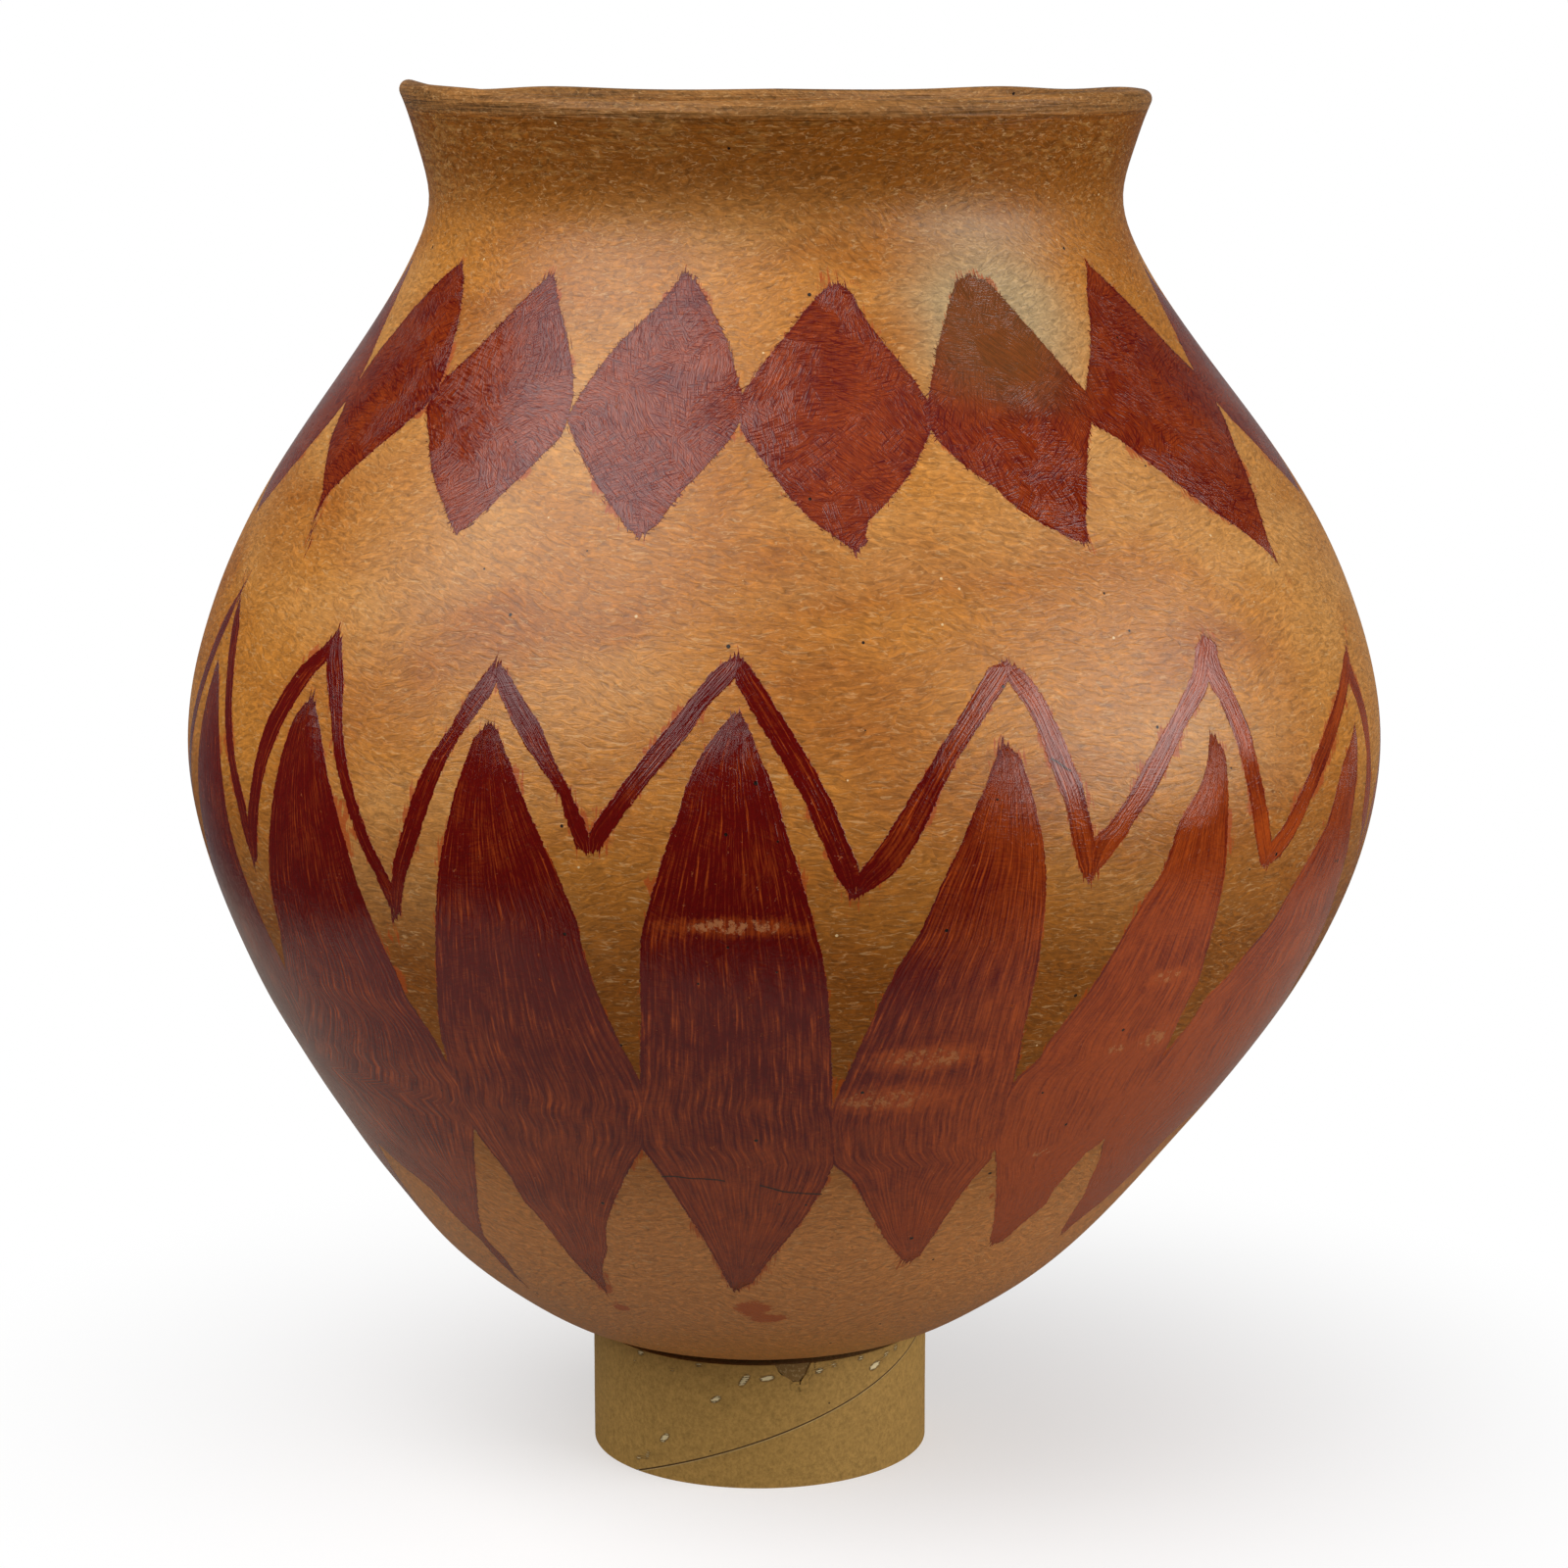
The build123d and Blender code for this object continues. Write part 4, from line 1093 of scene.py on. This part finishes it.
# Where the brush was loaded the slip has run out past its edge, as a thin bristly stain.
load = add(tree, "TexNoise", {"Vector": place, "Scale": 1000 / load_size, "Detail": 3.0, "Roughness": 0.6})
reach = add(tree, "MapRange", {"Value": load, "From": (0.55, 0.68), "To": stain_reach})
fringe = add(tree, "Math", {0: hair_by, 1: 1.2, 2: edged}, operation="MULTIPLY_ADD")
fringe = add(tree, "Math", {0: fringe, 1: reach}, operation="SUBTRACT")
stain = add(tree, "MapRange", {"Value": fringe, "From": stain_span, "To": (0, 0.8)})


def off_nearest(places):
    """How far off the nearest of those places lies, in half sizes of the place, with a ragged rim."""
    nearest = None
    for pixel, half_width, half_height in places:
        half_size = (half_width * mm, half_width * mm, half_height * mm)
        off = add(tree, "VectorMath", {0: place, 1: on_wall([pixel])[0]}, operation="SUBTRACT")
        off = add(tree, "VectorMath", {0: off, 1: half_size}, operation="DIVIDE")
        off = add(tree, "VectorMath", {0: off}, operation="LENGTH")
        nearest = off if nearest is None else add(tree, "Math", {0: off, 1: nearest}, operation="MINIMUM")
    frayed = add(tree, "Math", {0: ragged, 1: 1.8, 2: nearest}, operation="MULTIPLY_ADD")
    return add(tree, "Math", {0: frayed, 1: 0.9}, operation="SUBTRACT")


smeared = add(tree, "MapRange", {"Value": off_nearest(smears), "From": (1.1, 0.9), "To": (0, 0.8)})
stain = add(tree, "Math", {0: stain, 1: smeared}, operation="MAXIMUM")

# Worn places let the clay through in specks, most of all in their middles.
worn_in = add(tree, "MapRange", {"Value": off_nearest(worn_places), "From": (1.2, 0.5), "To": (0, 0.16)})
worn_by = add(tree, "Math", {0: ragged, 1: worn_in}, operation="ADD")
worn_through = add(tree, "MapRange", {"Value": worn_by, "From": (0.65, 0.71), "To": (0, 0.7)})
bared = add(tree, "MapRange", {"Value": worn_in, "From": (0, 0.1), "To": (0, 0.3)})
bared = add(tree, "Math", {0: bared, 1: painted}, operation="MULTIPLY")
slip = add(tree, "Math", {0: painted, 1: worn_through}, operation="MULTIPLY")
slip = add(tree, "Math", {0: painted, 1: slip}, operation="SUBTRACT")

# Each crack is a thin dark line near a straight one, and the depth of the wall counts little for it.
flattened = np.array([1, 0.05, 1])
cracking = add(tree, "VectorMath", {0: drift, 1: (0, 0, crack_wander), 2: place}, operation="MULTIPLY_ADD")
cracking = add(tree, "VectorMath", {0: cracking, 1: flattened}, operation="MULTIPLY")
along_line = add(tree, "SeparateXYZ", {0: cracking}).outputs["X"]
crack = None
for pixels in hairlines:
    start, end = on_wall(pixels) * flattened + [0, 0, crack_wander / 2]
    share = add(tree, "MapRange", {"Value": along_line, "From": (start[0], end[0])})
    nearest = add(tree, "Mix", {0: share, 4: start, 5: end}, data_type="VECTOR")
    off = add(tree, "VectorMath", {0: cracking, 1: nearest}, operation="DISTANCE")
    crack = off if crack is None else add(tree, "Math", {0: off, 1: crack}, operation="MINIMUM")
cracked = add(tree, "MapRange", {"Value": crack, "From": crack_span, "To": (0, 0.85)})

# Over the shoulder the rubs of the stone show most in the slip, and on the leaves and the line the brush.
up_wall = add(tree, "SeparateXYZ", {0: drifted}).outputs["Y"]
brush_across = add(tree, "Math", {0: brush, 1: 1 / bristle}, operation="MULTIPLY")
brush_along = add(tree, "Math", {0: up_wall, 1: 1000 / bristle_track}, operation="MULTIPLY")
brush_place = add(tree, "CombineXYZ", {0: brush_across, 1: brush_along})
bristles = add(tree, "TexNoise", {
    "Vector": brush_place, "Scale": 1.0, "Detail": 2.0, "Roughness": 0.6}, noise_dimensions="2D")
rub_share = add(tree, "MapRange", {"Value": shoulder, "To": (0.3, 0.9)})
tracks = add(tree, "Mix", {0: rub_share, 2: bristles, 3: crossings})
loaded = add(tree, "Math", {0: load, 1: 0.5, 2: tracks}, operation="MULTIPLY_ADD")

# The slip was mixed thinner for the leaves on the right and ran thin towards the leaves' feet. It is also
# thin between the bristles, and thicker along its edges, where the brush drew the outline.
to_right = add(tree, "SeparateXYZ", {0: place}).outputs["X"]
right_share = add(tree, "MapRange", {
    "Value": to_right, "From": right_leaves, "To": (0.02, 0.72)}, interpolation_type="SMOOTHSTEP")
feet_share = add(tree, "MapRange", {"Value": height, "From": feet_heights, "To": (0, 0.65)})
dashed = add(tree, "MapRange", {"Value": bristles, "From": (0.34, 0.26), "To": (0, 0.4)})
leaf_thinness = add(tree, "Math", {0: right_share, 1: feet_share}, operation="ADD")
leaf_thinness = add(tree, "Math", {0: leaf_thinness, 1: dashed}, operation="ADD")
thinness = add(tree, "Mix", {0: shoulder, 2: leaf_thinness, 3: 0.42})
streaked = add(tree, "MapRange", {"Value": loaded, "From": (0.95, 0.55), "To": (-0.4, 0.4)}, clamp=False)
outlined = add(tree, "MapRange", {"Value": edged, "From": outline_span, "To": (0, -0.25)})
wear_thin = add(tree, "Math", {0: worn_in, 1: 3.6}, operation="MULTIPLY")
for more in (streaked, outlined, wear_thin):
    thinness = add(tree, "Math", {0: thinness, 1: more}, operation="ADD")
thinness = add(tree, "Clamp", {"Value": thinness})
red = add(tree, "Mix", {0: thinness, 6: slip_deep, 7: slip_thin}, data_type="RGBA")
brushed_shade = add(tree, "MapRange", {"Value": tracks, "From": (0.3, 0.7), "To": (1.12, 0.88)}, clamp=False)
brushed_shade = add(tree, "Math", {0: brushed_shade, 1: grained}, operation="MULTIPLY")
red = add(tree, "VectorMath", {0: red, "Scale": brushed_shade}, operation="SCALE")
smoky = add(tree, "Math", {0: smoke_share, 1: 0.6}, operation="MULTIPLY")
red = add(tree, "Mix", {0: smoky, 6: red, 7: slip_smoked}, data_type="RGBA")

# What lies on the clay, from the lowest: stain, worn patches, slip, dark grit and cracks, pale temper.
darkened = add(tree, "Math", {0: gritty, 1: cracked}, operation="MAXIMUM")
bare = add(tree, "Math", {0: 1.0, 1: slip}, operation="SUBTRACT")
pale_grains = add(tree, "Math", {0: tempered, 1: bare}, operation="MULTIPLY")
surface = ground
for share, colour in ((stain, slip_smeared), (bared, clay_pale), (slip, red),
                      (darkened, grit_dark), (pale_grains, temper_pale)):
    surface = add(tree, "Mix", {0: share, 6: surface, 7: colour}, data_type="RGBA")

marks = add(tree, "Mix", {0: slip, 2: strokes, 3: tracks})
mark_depth = add(tree, "MapRange", {"Value": slip, "To": mark_depths})
relief = 0.0
for mark, depth in ((marks, mark_depth), (grain, grain_depth), (ridged, ridge_depth), (slip, coat_depth),
                    (gritty, -pit_depth)):
    relief = add(tree, "Math", {0: mark, 1: depth, 2: relief}, operation="MULTIPLY_ADD")
bumped = add(tree, "Bump", {"Height": relief, "Distance": 1.0, "Strength": 1.0})
roughness = add(tree, "MapRange", {"Value": slip, "To": gloss})
roughness = add(tree, "Math", {0: marks, 1: 0.12, 2: roughness}, operation="MULTIPLY_ADD")

# The wiped neck and the bare clay between the leaves were hardly burnished.
below_feet = add(tree, "Math", {0: 1.0, 1: foot_share}, operation="SUBTRACT")
dull = add(tree, "Math", {0: under_belly_shade_share, 1: below_feet}, operation="MULTIPLY")
dull = add(tree, "Math", {0: dull, 1: neck_and_shade_share}, operation="MAXIMUM")
dull = add(tree, "Math", {0: dull, 1: bare}, operation="MULTIPLY")
shine = add(tree, "MapRange", {"Value": dull, "To": shine_levels})
burnished = add(tree, "BsdfPrincipled", {
    "Base Color": surface, "Roughness": roughness, "Specular IOR Level": shine, "Normal": bumped})
add(tree, "OutputMaterial", {"Surface": burnished})
pot.data.materials.append(clay)
